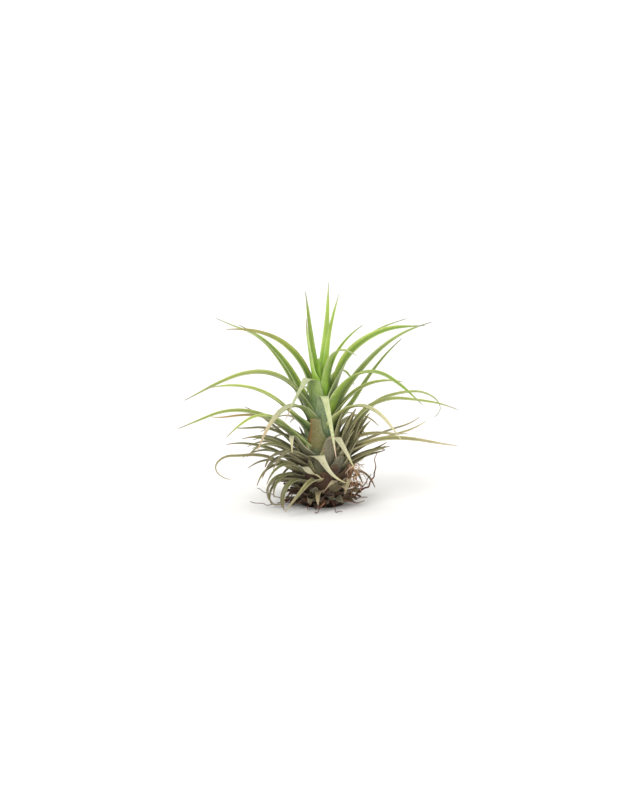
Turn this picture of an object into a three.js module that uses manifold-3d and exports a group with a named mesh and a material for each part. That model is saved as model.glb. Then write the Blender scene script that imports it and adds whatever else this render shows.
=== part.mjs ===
// Air plant: a stemless bromeliad that stands on its own foot of roots.
//
// Narrow channelled leaves grow in a spiral round a short, hidden stem. Young leaves stand up in the
// heart, older ones arch outward below them, and the oldest are withered and curl round the foot.
// Wiry roots come out at the bottom.
//
// Units are millimetres. +Z is up, the foot's flat face lies at z = 0, and the origin is its centre.
// Azimuths are degrees round the stem: 0 is +X, 90 is +Y and 270 is the front.

import * as THREE from "three";
import { mergeVertices } from "three/addons/utils/BufferGeometryUtils.js";
import Module from "manifold-3d";

const wasm = await Module();
wasm.setup();

// ---- Driving dimensions ----

const STEM_TOP = 47; // height of the growing point in the heart
const FOOT_RADIUS = 8.5; // flat underside of the root crown
const GAP = 0.3; // air between two nodes that rest on each other
const BLADE_THICKNESS = 0.95; // along the keel of a living leaf
const RIM_THICKNESS = 0.66; // at a leaf's two edges and at its tip
const TIP_WIDTH = 0.7;
const SHEATH_EXTRA = 3.4; // how much wider a leaf is where it clasps the stem
const SHEATH_SHARE = 0.3; // share of a leaf's length over which the sheath narrows
const SHEATH_CURL = 1.05; // half the angle that a sheath wraps through, in radians
const BLADE_CURL = 0.8; // the same for a blade
const ROOT_SINK = 1.4; // how deep a leaf starts inside the stem
const ROOT_DIAMETER = 0.9;
const LEAF_CLEARANCE = 1.2; // lowest a leaf's line comes, where it lies along the surface
const ROOT_CLEARANCE = 0.6; // the same for a root

// Heights at which the stem is parted between the nodes, from the foot up.
const HEIGHTS = { foot: 0, withered: 4.5, lower: 10.5, upper: 25.5, heart: 40, top: STEM_TOP };

// Radius of the short stem at a height: [height, radius].
const STEM_PROFILE = [
  [0, FOOT_RADIUS],
  [4, 9.6],
  [10, 8.4],
  [20, 6.6],
  [30, 4.9],
  [40, 3.6],
  [44.5, 3.1],
  [STEM_TOP, 1.6],
];

const COLOURS = {
  heart: 0x7fae2f,
  upper: 0x86a455,
  lower: 0x7d8661,
  withered: 0x8f8064,
  roots: 0x6b4a33,
};

// ---- Leaves ----
//
// A leaf leaves the stem at the height `root`. `rises` are its angles above the horizon at even steps
// along it and `headings` its azimuths, so the first heading is also its place round the stem. `width`
// is across the flattened blade, and `cut` is the share left of a leaf whose end has broken off.
// Heights, lengths and widths are in millimetres and angles in degrees.

const leaf = (root, length, rises, headings, width, cut = 1) => ({
  root,
  length,
  rises,
  headings,
  width,
  cut,
});

const heartLeaves = [
  leaf(44, 34, [68, 80, 81, 81], [134], 4.8), // left spear
  leaf(43, 26, [70, 80, 80, 90], [210], 3.4),
  leaf(43, 38, [80, 78, 80, 86, 90], [80, 60, 60], 4.8), // right spear
  leaf(43, 34.5, [84, 82, 79, 73, 67, 68], [62, 50, 50], 3.6),
  leaf(38.5, 32, [90, 85, 50, 5, -20], [308], 4.8), // hook to the right
  leaf(42, 28, [84, 74, 56, 44, 32], [34, 10], 3.4),
  leaf(42, 10, [80, 85, 80], [104], 3), // hidden behind the spears
];

const upperLeaves = [
  leaf(34, 53, [84, 78, 64, 42, 25, 6, 4], [352], 7.4), // high arch to the right
  leaf(35, 47, [76, 73, 65, 46, 31, 18, 14], [18], 5.4),
  leaf(31, 57, [62, 54, 46, 42, 29, 17, 8], [30], 5.6),
  leaf(27.8, 44, [30, 40, 53, 49, 44, 38], [42, 20], 3.8),
  leaf(31, 57, [74, 65, 36, 8, -19, -28, -30], [322, 314], 5.6),
  leaf(28, 35, [85, 55, 35, 10, -10], [350], 5),
  leaf(34.6, 50, [84, 78, 60, 40, 19, 5, -6], [168], 6.2), // high arch to the left
  leaf(30, 48, [62, 66, 58, 48, 38, 24, 20], [150], 5.6),
  leaf(30, 62, [50, 55, 40, 10, 15], [140], 4.2),
  leaf(31, 58, [72, 58, 30, 0, -20, -25, -25], [188, 196], 5.6),
  leaf(27, 46, [46, 44, 41, 28, 13, 0, -8], [200], 4.6),
  leaf(30, 34, [80, 80, 76, 66, -40, -44, -44], [230], 5.4), // folded over
  leaf(27, 46, [85, 88, 80, -20, -52, -56, -58, -58], [273, 273, 280, 290, 290, 290], 5.6), // folded over
  leaf(28, 38, [75, 50, -5, -40, -55, -60], [220], 4.6),
  leaf(28, 40, [80, 45, -5, -38, -40], [322, 316], 5),
];

const lowerLeaves = [
  leaf(21, 53, [40, 65, 25, -5, -10, -25], [2], 3.8), // long, to the right
  leaf(22, 55, [25, 55, 40, 15, 0, -40, -155], [14], 3.6), // its tip curls back
  leaf(18, 29, [65, 35, 10, -5, 10], [352], 3.4),
  leaf(16, 47, [45, 25, 2, -8, -2], [346], 3.8),
  leaf(16, 36, [40, 20, 15, 15, 35], [12], 2.6),
  leaf(18, 38, [30, 15, 20, 25, 30], [26, 14], 2.6),
  leaf(12, 19, [40, 30, 35, 30, -20], [356], 3.2),
  leaf(13, 20, [30, 25, 30, 25, 35], [8], 3.2),
  leaf(19, 25, [30, 40, 60, 55, 50], [22], 4.6),
  leaf(21, 25, [30, 45, 65, 60, 45], [38], 4.6),
  leaf(17, 26, [30, 40, 60, 65, 60], [4], 4.6),
  leaf(22, 53, [40, 35, 10, -20, -20], [192], 4.2), // long, to the left
  leaf(20, 42, [50, 50, 20, -25, -40], [208, 214], 4),
  leaf(20, 40, [45, 40, 30, 0, -10, 5], [172], 3.2),
  leaf(17, 31, [35, 40, 35, 30, 15], [155], 3),
  leaf(18, 30, [55, 40, 20, -5, 5], [182], 3),
  leaf(14, 27, [50, 45, 25, 10, -20], [186], 3.4),
  leaf(12.6, 31, [35, 36, 17, 5, -12], [178], 3.2),
  leaf(11, 44, [30, 30, 30, 10, -5, 0, -45, -135, -185], [190, 174], 3), // hoop
  leaf(13, 24, [50, 40, 20, -15, -70], [215, 224], 4.4),
  leaf(11, 25, [45, 40, 15, -35, -65], [212, 226], 3.6),
  leaf(18, 22, [50, 52, 50, 10, -58, -60], [218, 218, 218, 260, 276, 276], 4), // folded over
  leaf(13, 23, [80, 80, -30, -44, -44, -40], [262, 264, 322, 324, 324, 324], 5.4), // folded over
  leaf(17, 25, [70, 74, 64, -40, -46, -48, -48], [298, 298, 300, 312, 312, 312], 5), // folded over
  leaf(11, 25, [40, 10, -40, -42, -42], [256, 220, 203, 203], 4.2),
  leaf(20, 34, [76], [255], 6.6, 0.4), // stub with its end broken off
  leaf(14, 34, [74], [290], 7.2, 0.4),
  leaf(10.8, 24, [66], [312], 7, 0.4),
];

const witheredLeaves = [
  leaf(8.2, 28, [38, 10, -15, -90, -140, -175], [204, 192], 3), // curls into a ring
  leaf(7, 15, [35, 15, 5, -30, -72], [192], 2.8),
  leaf(9.5, 17, [54, 54, 20, -20, -22], [236, 245, 300, 327], 4.4), // folded over
  leaf(6.5, 15.5, [52, 50, 0, -38, -40], [296, 296, 250, 212, 212], 3.8), // folded over
  leaf(7, 15.5, [46, 40, 0, -42, -44], [320, 318, 270, 248, 248], 3.6), // folded over
  leaf(6.5, 10.5, [10, -25, -50], [262, 276], 3),
];

// Leaves of the far side follow the plant's own rule: each a golden angle on from the last, and
// lower, flatter and more drooping with age.
const GOLDEN_ANGLE = 137.508;
const FAR_LEAVES = {
  upper: { count: 6, low: 27, high: 33, from: 74, to: 112, length: 36, rise: 72, droop: -50, seed: 3 },
  lower: { count: 11, low: 12, high: 23, from: 56, to: 138, length: 33, rise: 54, droop: -30, seed: 5 },
  withered: { count: 6, low: 6.5, high: 9.5, from: 40, to: 150, length: 19, rise: 36, droop: -60, seed: 7 },
};
const FAR_SPREAD = { length: 6, rise: 8, droop: 14, swing: 16, width: 3.8 };

// Old leaf bases round the foot, which make its scaly bulb.
const OLD_BASES = { count: 12, low: 5.5, high: 8.7, length: 30, cut: 0.3, width: 6.4, rise: 66 };

// Wiry roots that come out of the crown. The long ones have a line each, like a leaf.
const longRoots = [
  leaf(2.4, 25, [10, 25, 40, 75, 95, 80], [350, 356], ROOT_DIAMETER), // stands up on the right
  leaf(2.6, 15, [15, 40, 70], [8], ROOT_DIAMETER),
  leaf(2, 20, [0, -8, 5, 20], [206, 188], ROOT_DIAMETER),
];
const WIRES = { count: 10, low: 1.6, high: 3.4, shortest: 5, longest: 14, seed: 11 };

// A repeatable number from 0 to 1 for a counter and a seed.
function noise(counter, seed) {
  const wave = Math.sin(counter * 12.9898 + seed * 78.233) * 43758.5453;
  return wave - Math.floor(wave);
}

function between(low, high, share) {
  return low + (high - low) * share;
}

function farLeaves({ count, low, high, from, to, length, rise, droop, seed }) {
  return Array.from({ length: count }, (_, i) => {
    const around = between(from, to, ((i * GOLDEN_ANGLE) / 360) % 1);
    const lean = (around - 90) / 48; // leaves well off the middle stay lower
    const first = rise + FAR_SPREAD.rise * noise(i, seed) - 14 * Math.abs(lean);
    const last = droop - FAR_SPREAD.droop * noise(i, seed + 1);
    const swing = FAR_SPREAD.swing * (noise(i, seed + 2) - 0.5);
    return leaf(
      between(high, low, (i + 0.5) / count),
      length + FAR_SPREAD.length * noise(i, seed + 3),
      [first, between(first, last, 0.3), between(first, last, 0.7), last],
      [around, around + swing],
      FAR_SPREAD.width,
    );
  });
}

function oldBases() {
  const { count, low, high, length, cut, width, rise } = OLD_BASES;
  return Array.from({ length: count }, (_, i) =>
    leaf(between(low, high, i / count), length, [rise], [i * GOLDEN_ANGLE], width, cut),
  );
}

function rootWires() {
  const { count, low, high, shortest, longest, seed } = WIRES;
  const fringe = Array.from({ length: count }, (_, i) => {
    const around = i * GOLDEN_ANGLE;
    const swing = 120 * (noise(i, seed) - 0.5);
    const droop = between(-24, 6, noise(i, seed + 1));
    return leaf(
      between(low, high, noise(i, seed + 2)),
      between(shortest, longest, noise(i, seed + 3)),
      [10, droop, -4, 12 * noise(i, seed + 4)],
      [around, around + swing],
      ROOT_DIAMETER,
    );
  });
  return [...longRoots, ...fringe];
}

// ---- Shape laws ----

function stemRadius(height) {
  const above = STEM_PROFILE.findIndex(([h]) => h >= height);
  if (above <= 0) return STEM_PROFILE[above < 0 ? STEM_PROFILE.length - 1 : 0][1];
  const [h0, r0] = STEM_PROFILE[above - 1];
  const [h1, r1] = STEM_PROFILE[above];
  return between(r0, r1, (height - h0) / (h1 - h0));
}

// The value of evenly spaced `stations` at a share of the way along them.
function along(stations, s) {
  const at = s * (stations.length - 1);
  const i = Math.min(Math.floor(at), Math.max(stations.length - 2, 0));
  return between(stations[i], stations[i + 1] ?? stations[i], at - i);
}

// A leaf's line, as stations with their place, sideways axis and upward axis.
function leafLine(leaf, steps, lowest = LEAF_CLEARANCE) {
  const azimuth = THREE.MathUtils.degToRad(leaf.headings[0]);
  const start = Math.max(stemRadius(leaf.root) - ROOT_SINK, 0.4);
  const place = new THREE.Vector3(start * Math.cos(azimuth), start * Math.sin(azimuth), leaf.root);
  const fine = 8; // short strides inside each step, so that the line bends smoothly
  const stride = (leaf.length * leaf.cut) / (steps * fine);
  const line = [];
  for (let i = 0; i <= steps * fine; i += 1) {
    const s = (i / (steps * fine)) * leaf.cut;
    const rise = THREE.MathUtils.degToRad(along(leaf.rises, s));
    const heading = THREE.MathUtils.degToRad(along(leaf.headings, s));
    const out = new THREE.Vector3(Math.cos(heading), Math.sin(heading), 0);
    const ahead = out.clone().multiplyScalar(Math.cos(rise)).setZ(Math.sin(rise));
    if (i % fine === 0) {
      const upward = out.clone().multiplyScalar(-Math.sin(rise)).setZ(Math.cos(rise));
      line.push({ s, place: place.clone(), sideways: ahead.clone().cross(upward), upward });
    }
    place.addScaledVector(ahead, stride);
    place.z = Math.max(place.z, lowest);
  }
  return line;
}

// Width across a leaf, flattened out, at a share of its length.
function leafWidth(leaf, s) {
  const sheath = SHEATH_EXTRA * (1 - THREE.MathUtils.smoothstep(s, 0, SHEATH_SHARE));
  return sheath + between(leaf.width, TIP_WIDTH, s);
}

// Six corners of a leaf's section: three along the hollow upper face and three along the keel.
function bladeSection(leaf, station, grow) {
  const { place, sideways, upward, s } = station;
  const width = leafWidth(leaf, s);
  const curl = between(SHEATH_CURL, BLADE_CURL, Math.min(s / SHEATH_SHARE, 1));
  const radius = width / (2 * curl);
  const keel = between(BLADE_THICKNESS, RIM_THICKNESS, s);
  const corner = (side, depth) =>
    place
      .clone()
      .addScaledVector(sideways, side * (radius * Math.sin(curl) + grow))
      .addScaledVector(upward, radius * (1 - Math.cos(side * curl)) - depth);
  return [
    corner(-1, -grow),
    corner(0, -grow),
    corner(1, -grow),
    corner(1, RIM_THICKNESS + grow),
    corner(0, keel + grow),
    corner(-1, RIM_THICKNESS + grow),
  ];
}

// Five corners of a wire's section.
function wireSection(station, grow) {
  const radius = ROOT_DIAMETER / 2 + grow;
  return Array.from({ length: 5 }, (_, i) => {
    const angle = (i * 2 * Math.PI) / 5;
    return station.place
      .clone()
      .addScaledVector(station.sideways, radius * Math.cos(angle))
      .addScaledVector(station.upward, -radius * Math.sin(angle));
  });
}

// A closed skin over rings of corners. Edges from `mirrorFrom` on are split the other way, so that
// both faces of a blade are split alike.
function skin(rings, mirrorFrom) {
  const around = rings[0].length;
  const corners = rings.flat();
  const triangles = [];
  for (let ring = 0; ring + 1 < rings.length; ring += 1) {
    for (let i = 0; i < around; i += 1) {
      const a = ring * around + i;
      const b = ring * around + ((i + 1) % around);
      const c = b + around;
      const d = a + around;
      if (i < mirrorFrom) triangles.push(a, b, c, a, c, d);
      else triangles.push(a, b, d, b, c, d);
    }
  }
  const last = (rings.length - 1) * around;
  for (let i = 1; i + 1 < around; i += 1) {
    triangles.push(0, i + 1, i);
    triangles.push(last, last + i, last + i + 1);
  }
  const positions = new Float32Array(corners.flatMap((p) => [p.x, p.y, p.z]));
  const geometry = new THREE.BufferGeometry();
  geometry.setAttribute("position", new THREE.BufferAttribute(positions, 3));
  geometry.setIndex(triangles);
  return geometry;
}

function turnOf(angles) {
  return angles.slice(1).reduce((sum, angle, i) => sum + Math.abs(angle - angles[i]), 0);
}

function leafGeometry(leaf, grow = 0) {
  const turned = turnOf(leaf.rises) + turnOf(leaf.headings) / 2;
  const steps = Math.round(THREE.MathUtils.clamp(3 + turned / 18, 3, 14));
  const sections = leafLine(leaf, steps).map((station) => bladeSection(leaf, station, grow));
  return skin(sections, 3);
}

function wireGeometry(wire, grow = 0) {
  return skin(
    leafLine(wire, 6, ROOT_CLEARANCE).map((station) => wireSection(station, grow)),
    Infinity,
  );
}

// A length of the stem between two heights, as a turned solid.
function stemGeometry(low, high, grow = 0) {
  const inside = STEM_PROFILE.map(([h]) => h).filter((h) => h > low && h < high);
  const profile = [low, ...inside, high].map((h) => new THREE.Vector2(stemRadius(h) + grow, h));
  profile.unshift(new THREE.Vector2(0, low - grow), new THREE.Vector2(profile[0].x, low - grow));
  profile.push(new THREE.Vector2(profile.at(-1).x, high + grow), new THREE.Vector2(0, high + grow));
  const turned = grow > 0 ? profile : profile.filter((p, i) => i === 0 || !p.equals(profile[i - 1]));
  return new THREE.LatheGeometry(turned, 14).rotateX(Math.PI / 2);
}

// ---- Joining and cutting ----

function solidOf(geometry) {
  geometry.deleteAttribute("normal");
  geometry.deleteAttribute("uv");
  const merged = mergeVertices(geometry, 1e-4);
  return new wasm.Manifold(
    new wasm.Mesh({
      numProp: 3,
      vertProperties: merged.attributes.position.array,
      triVerts: new Uint32Array(merged.index.array),
    }),
  );
}

function joined(solids) {
  return solids.reduce((whole, solid) => whole.add(solid));
}

// The outer skin of the largest body: without loose scraps, and with sealed hollows filled.
function largest(solid) {
  return solid.decompose().reduce((best, body) => (body.volume() > best.volume() ? body : best));
}

function geometryOf(solid) {
  const { numProp, vertProperties, triVerts } = solid.getMesh();
  const positions = new Float32Array((vertProperties.length / numProp) * 3);
  for (let i = 0; i < positions.length / 3; i += 1) {
    positions.set(vertProperties.subarray(i * numProp, i * numProp + 3), i * 3);
  }
  const geometry = new THREE.BufferGeometry();
  geometry.setAttribute("position", new THREE.BufferAttribute(positions, 3));
  geometry.setIndex(new THREE.BufferAttribute(triVerts, 1));
  geometry.computeVertexNormals();
  return geometry;
}

// ---- Nodes ----

// Leaves on their length of stem, and the same solids grown by the gap, which clear their neighbours.
function tier(leaves, low, high) {
  const at = (grow) => [
    solidOf(stemGeometry(low, high, grow)),
    ...leaves.map((leaf) => solidOf(leafGeometry(leaf, grow))),
  ];
  return { solid: joined(at(0)), cleared: joined(at(GAP)) };
}

const tiers = {
  heart: tier(heartLeaves, HEIGHTS.heart, HEIGHTS.top),
  upper: tier([...upperLeaves, ...farLeaves(FAR_LEAVES.upper)], HEIGHTS.upper, HEIGHTS.heart - GAP),
  lower: tier([...lowerLeaves, ...farLeaves(FAR_LEAVES.lower)], HEIGHTS.lower, HEIGHTS.upper - GAP),
  withered: tier(
    [...witheredLeaves, ...farLeaves(FAR_LEAVES.withered), ...oldBases()],
    HEIGHTS.withered,
    HEIGHTS.lower - GAP,
  ),
};

const crown = joined([
  solidOf(stemGeometry(HEIGHTS.foot, HEIGHTS.withered - GAP)),
  ...rootWires().map((wire) => solidOf(wireGeometry(wire))),
]);

// From the heart down, each tier is cut clear of the tiers inside it.
let inner = tiers.heart.cleared;
const heart = largest(tiers.heart.solid);
const upper = largest(tiers.upper.solid.subtract(inner));
inner = inner.add(tiers.upper.cleared);
const lower = largest(tiers.lower.solid.subtract(inner));
inner = inner.add(tiers.lower.cleared);
const withered = largest(tiers.withered.solid.subtract(inner));
inner = inner.add(tiers.withered.cleared);
const roots = largest(crown.subtract(inner));

const plant = new THREE.Group();
const nodes = {
  heart_leaves: [heart, COLOURS.heart],
  upper_leaves: [upper, COLOURS.upper],
  lower_leaves: [lower, COLOURS.lower],
  withered_leaves: [withered, COLOURS.withered],
  roots: [roots, COLOURS.roots],
};
for (const [name, [solid, colour]] of Object.entries(nodes)) {
  const material = new THREE.MeshStandardMaterial({ color: colour, roughness: 0.7, metalness: 0 });
  const mesh = new THREE.Mesh(geometryOf(solid), material);
  mesh.name = name;
  plant.add(mesh);
}

export default plant;
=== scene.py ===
"""A small air plant in full detail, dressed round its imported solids.

Narrow channelled leaves grow in a spiral round a short, hidden stem. Young leaves stand up in the
heart, older ones arch outward below them, and the oldest are withered and curl round a crown of roots.
Tables give lengths in millimetres and angles in degrees. Azimuth 0 is +X, 90 is +Y and 270 the front.
"""

import logging
import math
from collections.abc import Iterable, Sequence
from dataclasses import dataclass, field
from enum import Enum

import bmesh
import bpy
from mathutils import Matrix, Vector, noise


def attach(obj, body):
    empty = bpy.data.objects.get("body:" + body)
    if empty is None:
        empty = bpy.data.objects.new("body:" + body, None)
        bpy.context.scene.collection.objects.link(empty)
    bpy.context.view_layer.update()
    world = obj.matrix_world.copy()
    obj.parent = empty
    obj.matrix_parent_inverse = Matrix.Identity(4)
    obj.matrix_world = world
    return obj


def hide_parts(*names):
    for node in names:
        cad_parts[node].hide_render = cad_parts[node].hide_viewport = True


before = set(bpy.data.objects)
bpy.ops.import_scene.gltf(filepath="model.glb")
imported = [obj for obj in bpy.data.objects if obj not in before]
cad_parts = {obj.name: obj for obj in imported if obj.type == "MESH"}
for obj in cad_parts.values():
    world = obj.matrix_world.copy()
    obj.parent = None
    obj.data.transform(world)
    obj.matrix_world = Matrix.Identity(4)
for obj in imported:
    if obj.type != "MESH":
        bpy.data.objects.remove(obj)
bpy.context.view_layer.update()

LOG = logging.getLogger("air_plant")

# A millimetre, and how near to each other two corners are merged. Both are in metres.
MM = 0.001
MERGE_REACH = 1e-6

# The leaf's UV map, and the attribute that holds each leaf's or root's own tone.
LEAF_MAP = "leaf"
SHADE = "shade"

# Degrees round the stem from one leaf to the next.
GOLDEN_ANGLE = 137.508

# From one rise to the next, a turn of more degrees than this is a fold. Part of it is kept for the
# middle of its step, between two shares of that step.
FOLD_TURN = 60.0
CREASE = 0.25
CREASE_SPAN = (0.3, 0.7)

# Radius of the short stem at a height, as (height, radius).
STEM_PROFILE = (
    (0.0, 8.5),
    (4.0, 9.6),
    (10.0, 8.4),
    (20.0, 6.6),
    (30.0, 4.9),
    (40.0, 3.6),
    (44.5, 3.1),
    (47.0, 1.6),
)


# ---- Numbers ----


def draw(counter: float, seed: float) -> float:
    """Returns a repeatable number from 0 to 1 for a counter and a seed."""
    wave = math.sin(counter * 12.9898 + seed * 78.233) * 43758.5453
    return wave - math.floor(wave)


def between(low: float, high: float, share: float) -> float:
    """Returns the value at a share of the way from low to high."""
    return low + (high - low) * share


def clamp(value: float, low: float = 0.0, high: float = 1.0) -> float:
    """Returns the value, kept from low to high."""
    return max(low, min(high, value))


def eased(value: float, low: float, high: float) -> float:
    """Returns 0 below low and 1 above high, with a smooth rise between them."""
    share = clamp((value - low) / (high - low))
    return share * share * (3.0 - 2.0 * share)


def along(stations: Sequence[float], share: float, crease: float = 0.0) -> float:
    """Returns the value of evenly spaced stations at a share of the way along them.

    Args:
        stations: The values at even steps.
        share: How far along, from 0 to 1.
        crease: How much of a sharp turn is kept for the middle of its step, from 0 to 1.

    Returns:
        The value there.
    """
    if len(stations) == 1:
        return stations[0]
    at = clamp(share) * (len(stations) - 1)
    index = min(int(at), len(stations) - 2)
    part = at - index
    if abs(stations[index + 1] - stations[index]) > FOLD_TURN:
        part = between(part, eased(part, *CREASE_SPAN), crease)
    return between(stations[index], stations[index + 1], part)


def stem_radius(height: float) -> float:
    """Returns the radius of the stem at a height.

    Args:
        height: The height, in millimetres.

    Returns:
        The radius, in millimetres.
    """
    for (low, first), (high, second) in zip(STEM_PROFILE, STEM_PROFILE[1:]):
        if height <= high:
            return between(first, second, clamp((height - low) / (high - low)))
    return STEM_PROFILE[-1][1]


def linear(colour: str) -> tuple[float, float, float, float]:
    """Turns a web colour into linear light.

    Args:
        colour: The web colour, such as "#84ac23".

    Returns:
        Its red, green, blue and alpha.
    """
    channels = [int(colour[i : i + 2], 16) / 255.0 for i in (1, 3, 5)]
    red, green, blue = (c / 12.92 if c <= 0.04045 else ((c + 0.055) / 1.055) ** 2.4 for c in channels)
    return red, green, blue, 1.0


# ---- Materials ----

# Sockets of the Mix node that take and give colours.
MIX_SHARE = 0
MIX_FIRST = 6
MIX_SECOND = 7
MIX_RESULT = 2

# Scales of the noises on a leaf, in waves a metre: broad blotches, patches of bloom, single pale
# scales and dark specks.
BLOTCH_GRAIN = 160.0
PATCH_GRAIN = 900.0
BLOOM_GRAIN = 2600.0
SPECK_GRAIN = 1500.0

# Streaks along a leaf, as waves along it and waves round it, and how far they differ between leaves.
BROAD_STREAKS = (5.0, 22.0)
FINE_STREAKS = (12.0, 90.0)
STREAK_SHIFT = 40.0

# Turns round a leaf's section: the middle of the hollow face, and the rim where the back begins.
FACE_MIDDLE = 0.25
BACK_FROM = 0.5

# How far the roughness of a leaf and of bark spreads between its patches.
LEAF_ROUGHNESS_SPREAD = 0.22
BARK_ROUGHNESS_SPREAD = 0.2


class Nodes:
    """Builds the node tree of one material."""

    def __init__(self, name: str) -> None:
        """Makes an empty material with its output.

        Args:
            name: The material's name.
        """
        self.material = bpy.data.materials.new(name)
        self.material.use_nodes = True
        self.tree = self.material.node_tree
        self.tree.nodes.clear()

    def add(self, kind: str, inputs: dict | None = None, **settings: object) -> bpy.types.Node:
        """Adds a node.

        Args:
            kind: The node's type.
            inputs: A value or another node's output for each named or numbered socket.
            settings: The node's own properties.

        Returns:
            The node.
        """
        node = self.tree.nodes.new(kind)
        for key, value in settings.items():
            setattr(node, key, value)
        for key, value in (inputs or {}).items():
            if isinstance(value, bpy.types.NodeSocket):
                self.tree.links.new(value, node.inputs[key])
            else:
                node.inputs[key].default_value = value
        return node

    def math(self, operation: str, first: object, second: object = 0.0) -> bpy.types.NodeSocket:
        """Returns the output of a Math node on two values or sockets."""
        return self.add("ShaderNodeMath", {0: first, 1: second}, operation=operation).outputs[0]

    def ramp(
        self, value: object, low: float, high: float, start: float = 0.0, end: float = 1.0,
    ) -> bpy.types.NodeSocket:
        """Returns a smooth rise from start to end as the value goes from low to high."""
        settings = {"Value": value, "From Min": low, "From Max": high, "To Min": start, "To Max": end}
        return self.add("ShaderNodeMapRange", settings, interpolation_type="SMOOTHSTEP").outputs[0]

    def mix(self, share: object, first: object, second: object, blend: str = "MIX") -> bpy.types.NodeSocket:
        """Returns two colours mixed by a share."""
        inputs = {MIX_SHARE: share, MIX_FIRST: first, MIX_SECOND: second}
        return self.add("ShaderNodeMix", inputs, data_type="RGBA", blend_type=blend).outputs[MIX_RESULT]

    def grey(self, value: object) -> bpy.types.NodeSocket:
        """Returns a grey of a brightness."""
        return self.add("ShaderNodeCombineColor", {0: value, 1: value, 2: value}).outputs[0]

    def noise(
        self, place: object, scale: float, detail: float = 2.0, rough: float = 0.5,
    ) -> bpy.types.NodeSocket:
        """Returns a soft noise at a place."""
        values = {"Vector": place, "Scale": scale, "Detail": detail, "Roughness": rough}
        return self.add("ShaderNodeTexNoise", values).outputs["Fac"]

    def finish(self, inputs: dict) -> bpy.types.Material:
        """Joins a Principled shader to the output.

        Args:
            inputs: A value or an output for each of the shader's sockets.

        Returns:
            The material.
        """
        shader = self.add("ShaderNodeBsdfPrincipled", inputs)
        self.add("ShaderNodeOutputMaterial", {"Surface": shader.outputs[0]})
        return self.material


@dataclass(frozen=True)
class LeafPlace:
    """Where a point lies on its leaf, as outputs of a material's nodes."""

    share: bpy.types.NodeSocket
    around: bpy.types.NodeSocket
    spot: bpy.types.NodeSocket
    shade: bpy.types.NodeSocket

    @classmethod
    def read(cls, n: Nodes) -> "LeafPlace":
        """Reads the leaf map, the place on the plant and the leaf's own tone.

        Args:
            n: The material's nodes.

        Returns:
            The place.
        """
        uv = n.add("ShaderNodeUVMap", uv_map=LEAF_MAP).outputs[0]
        split = n.add("ShaderNodeSeparateXYZ", {0: uv})
        spot = n.add("ShaderNodeTexCoord").outputs["Object"]
        shade = n.add("ShaderNodeAttribute", attribute_name=SHADE).outputs["Fac"]
        return cls(split.outputs[0], split.outputs[1], spot, shade)

    def lane(self, n: Nodes, waves: tuple[float, float]) -> bpy.types.NodeSocket:
        """Stretches the place along the leaf, for streaks.

        Args:
            n: The material's nodes.
            waves: How many waves there are along the leaf and round it.

        Returns:
            The stretched place.
        """
        lengthwise = n.math("MULTIPLY", self.share, waves[0])
        crosswise = n.math("MULTIPLY", self.around, waves[1])
        own = n.math("MULTIPLY", self.shade, STREAK_SHIFT)
        return n.add("ShaderNodeCombineXYZ", {0: lengthwise, 1: crosswise, 2: own}).outputs[0]


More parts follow.
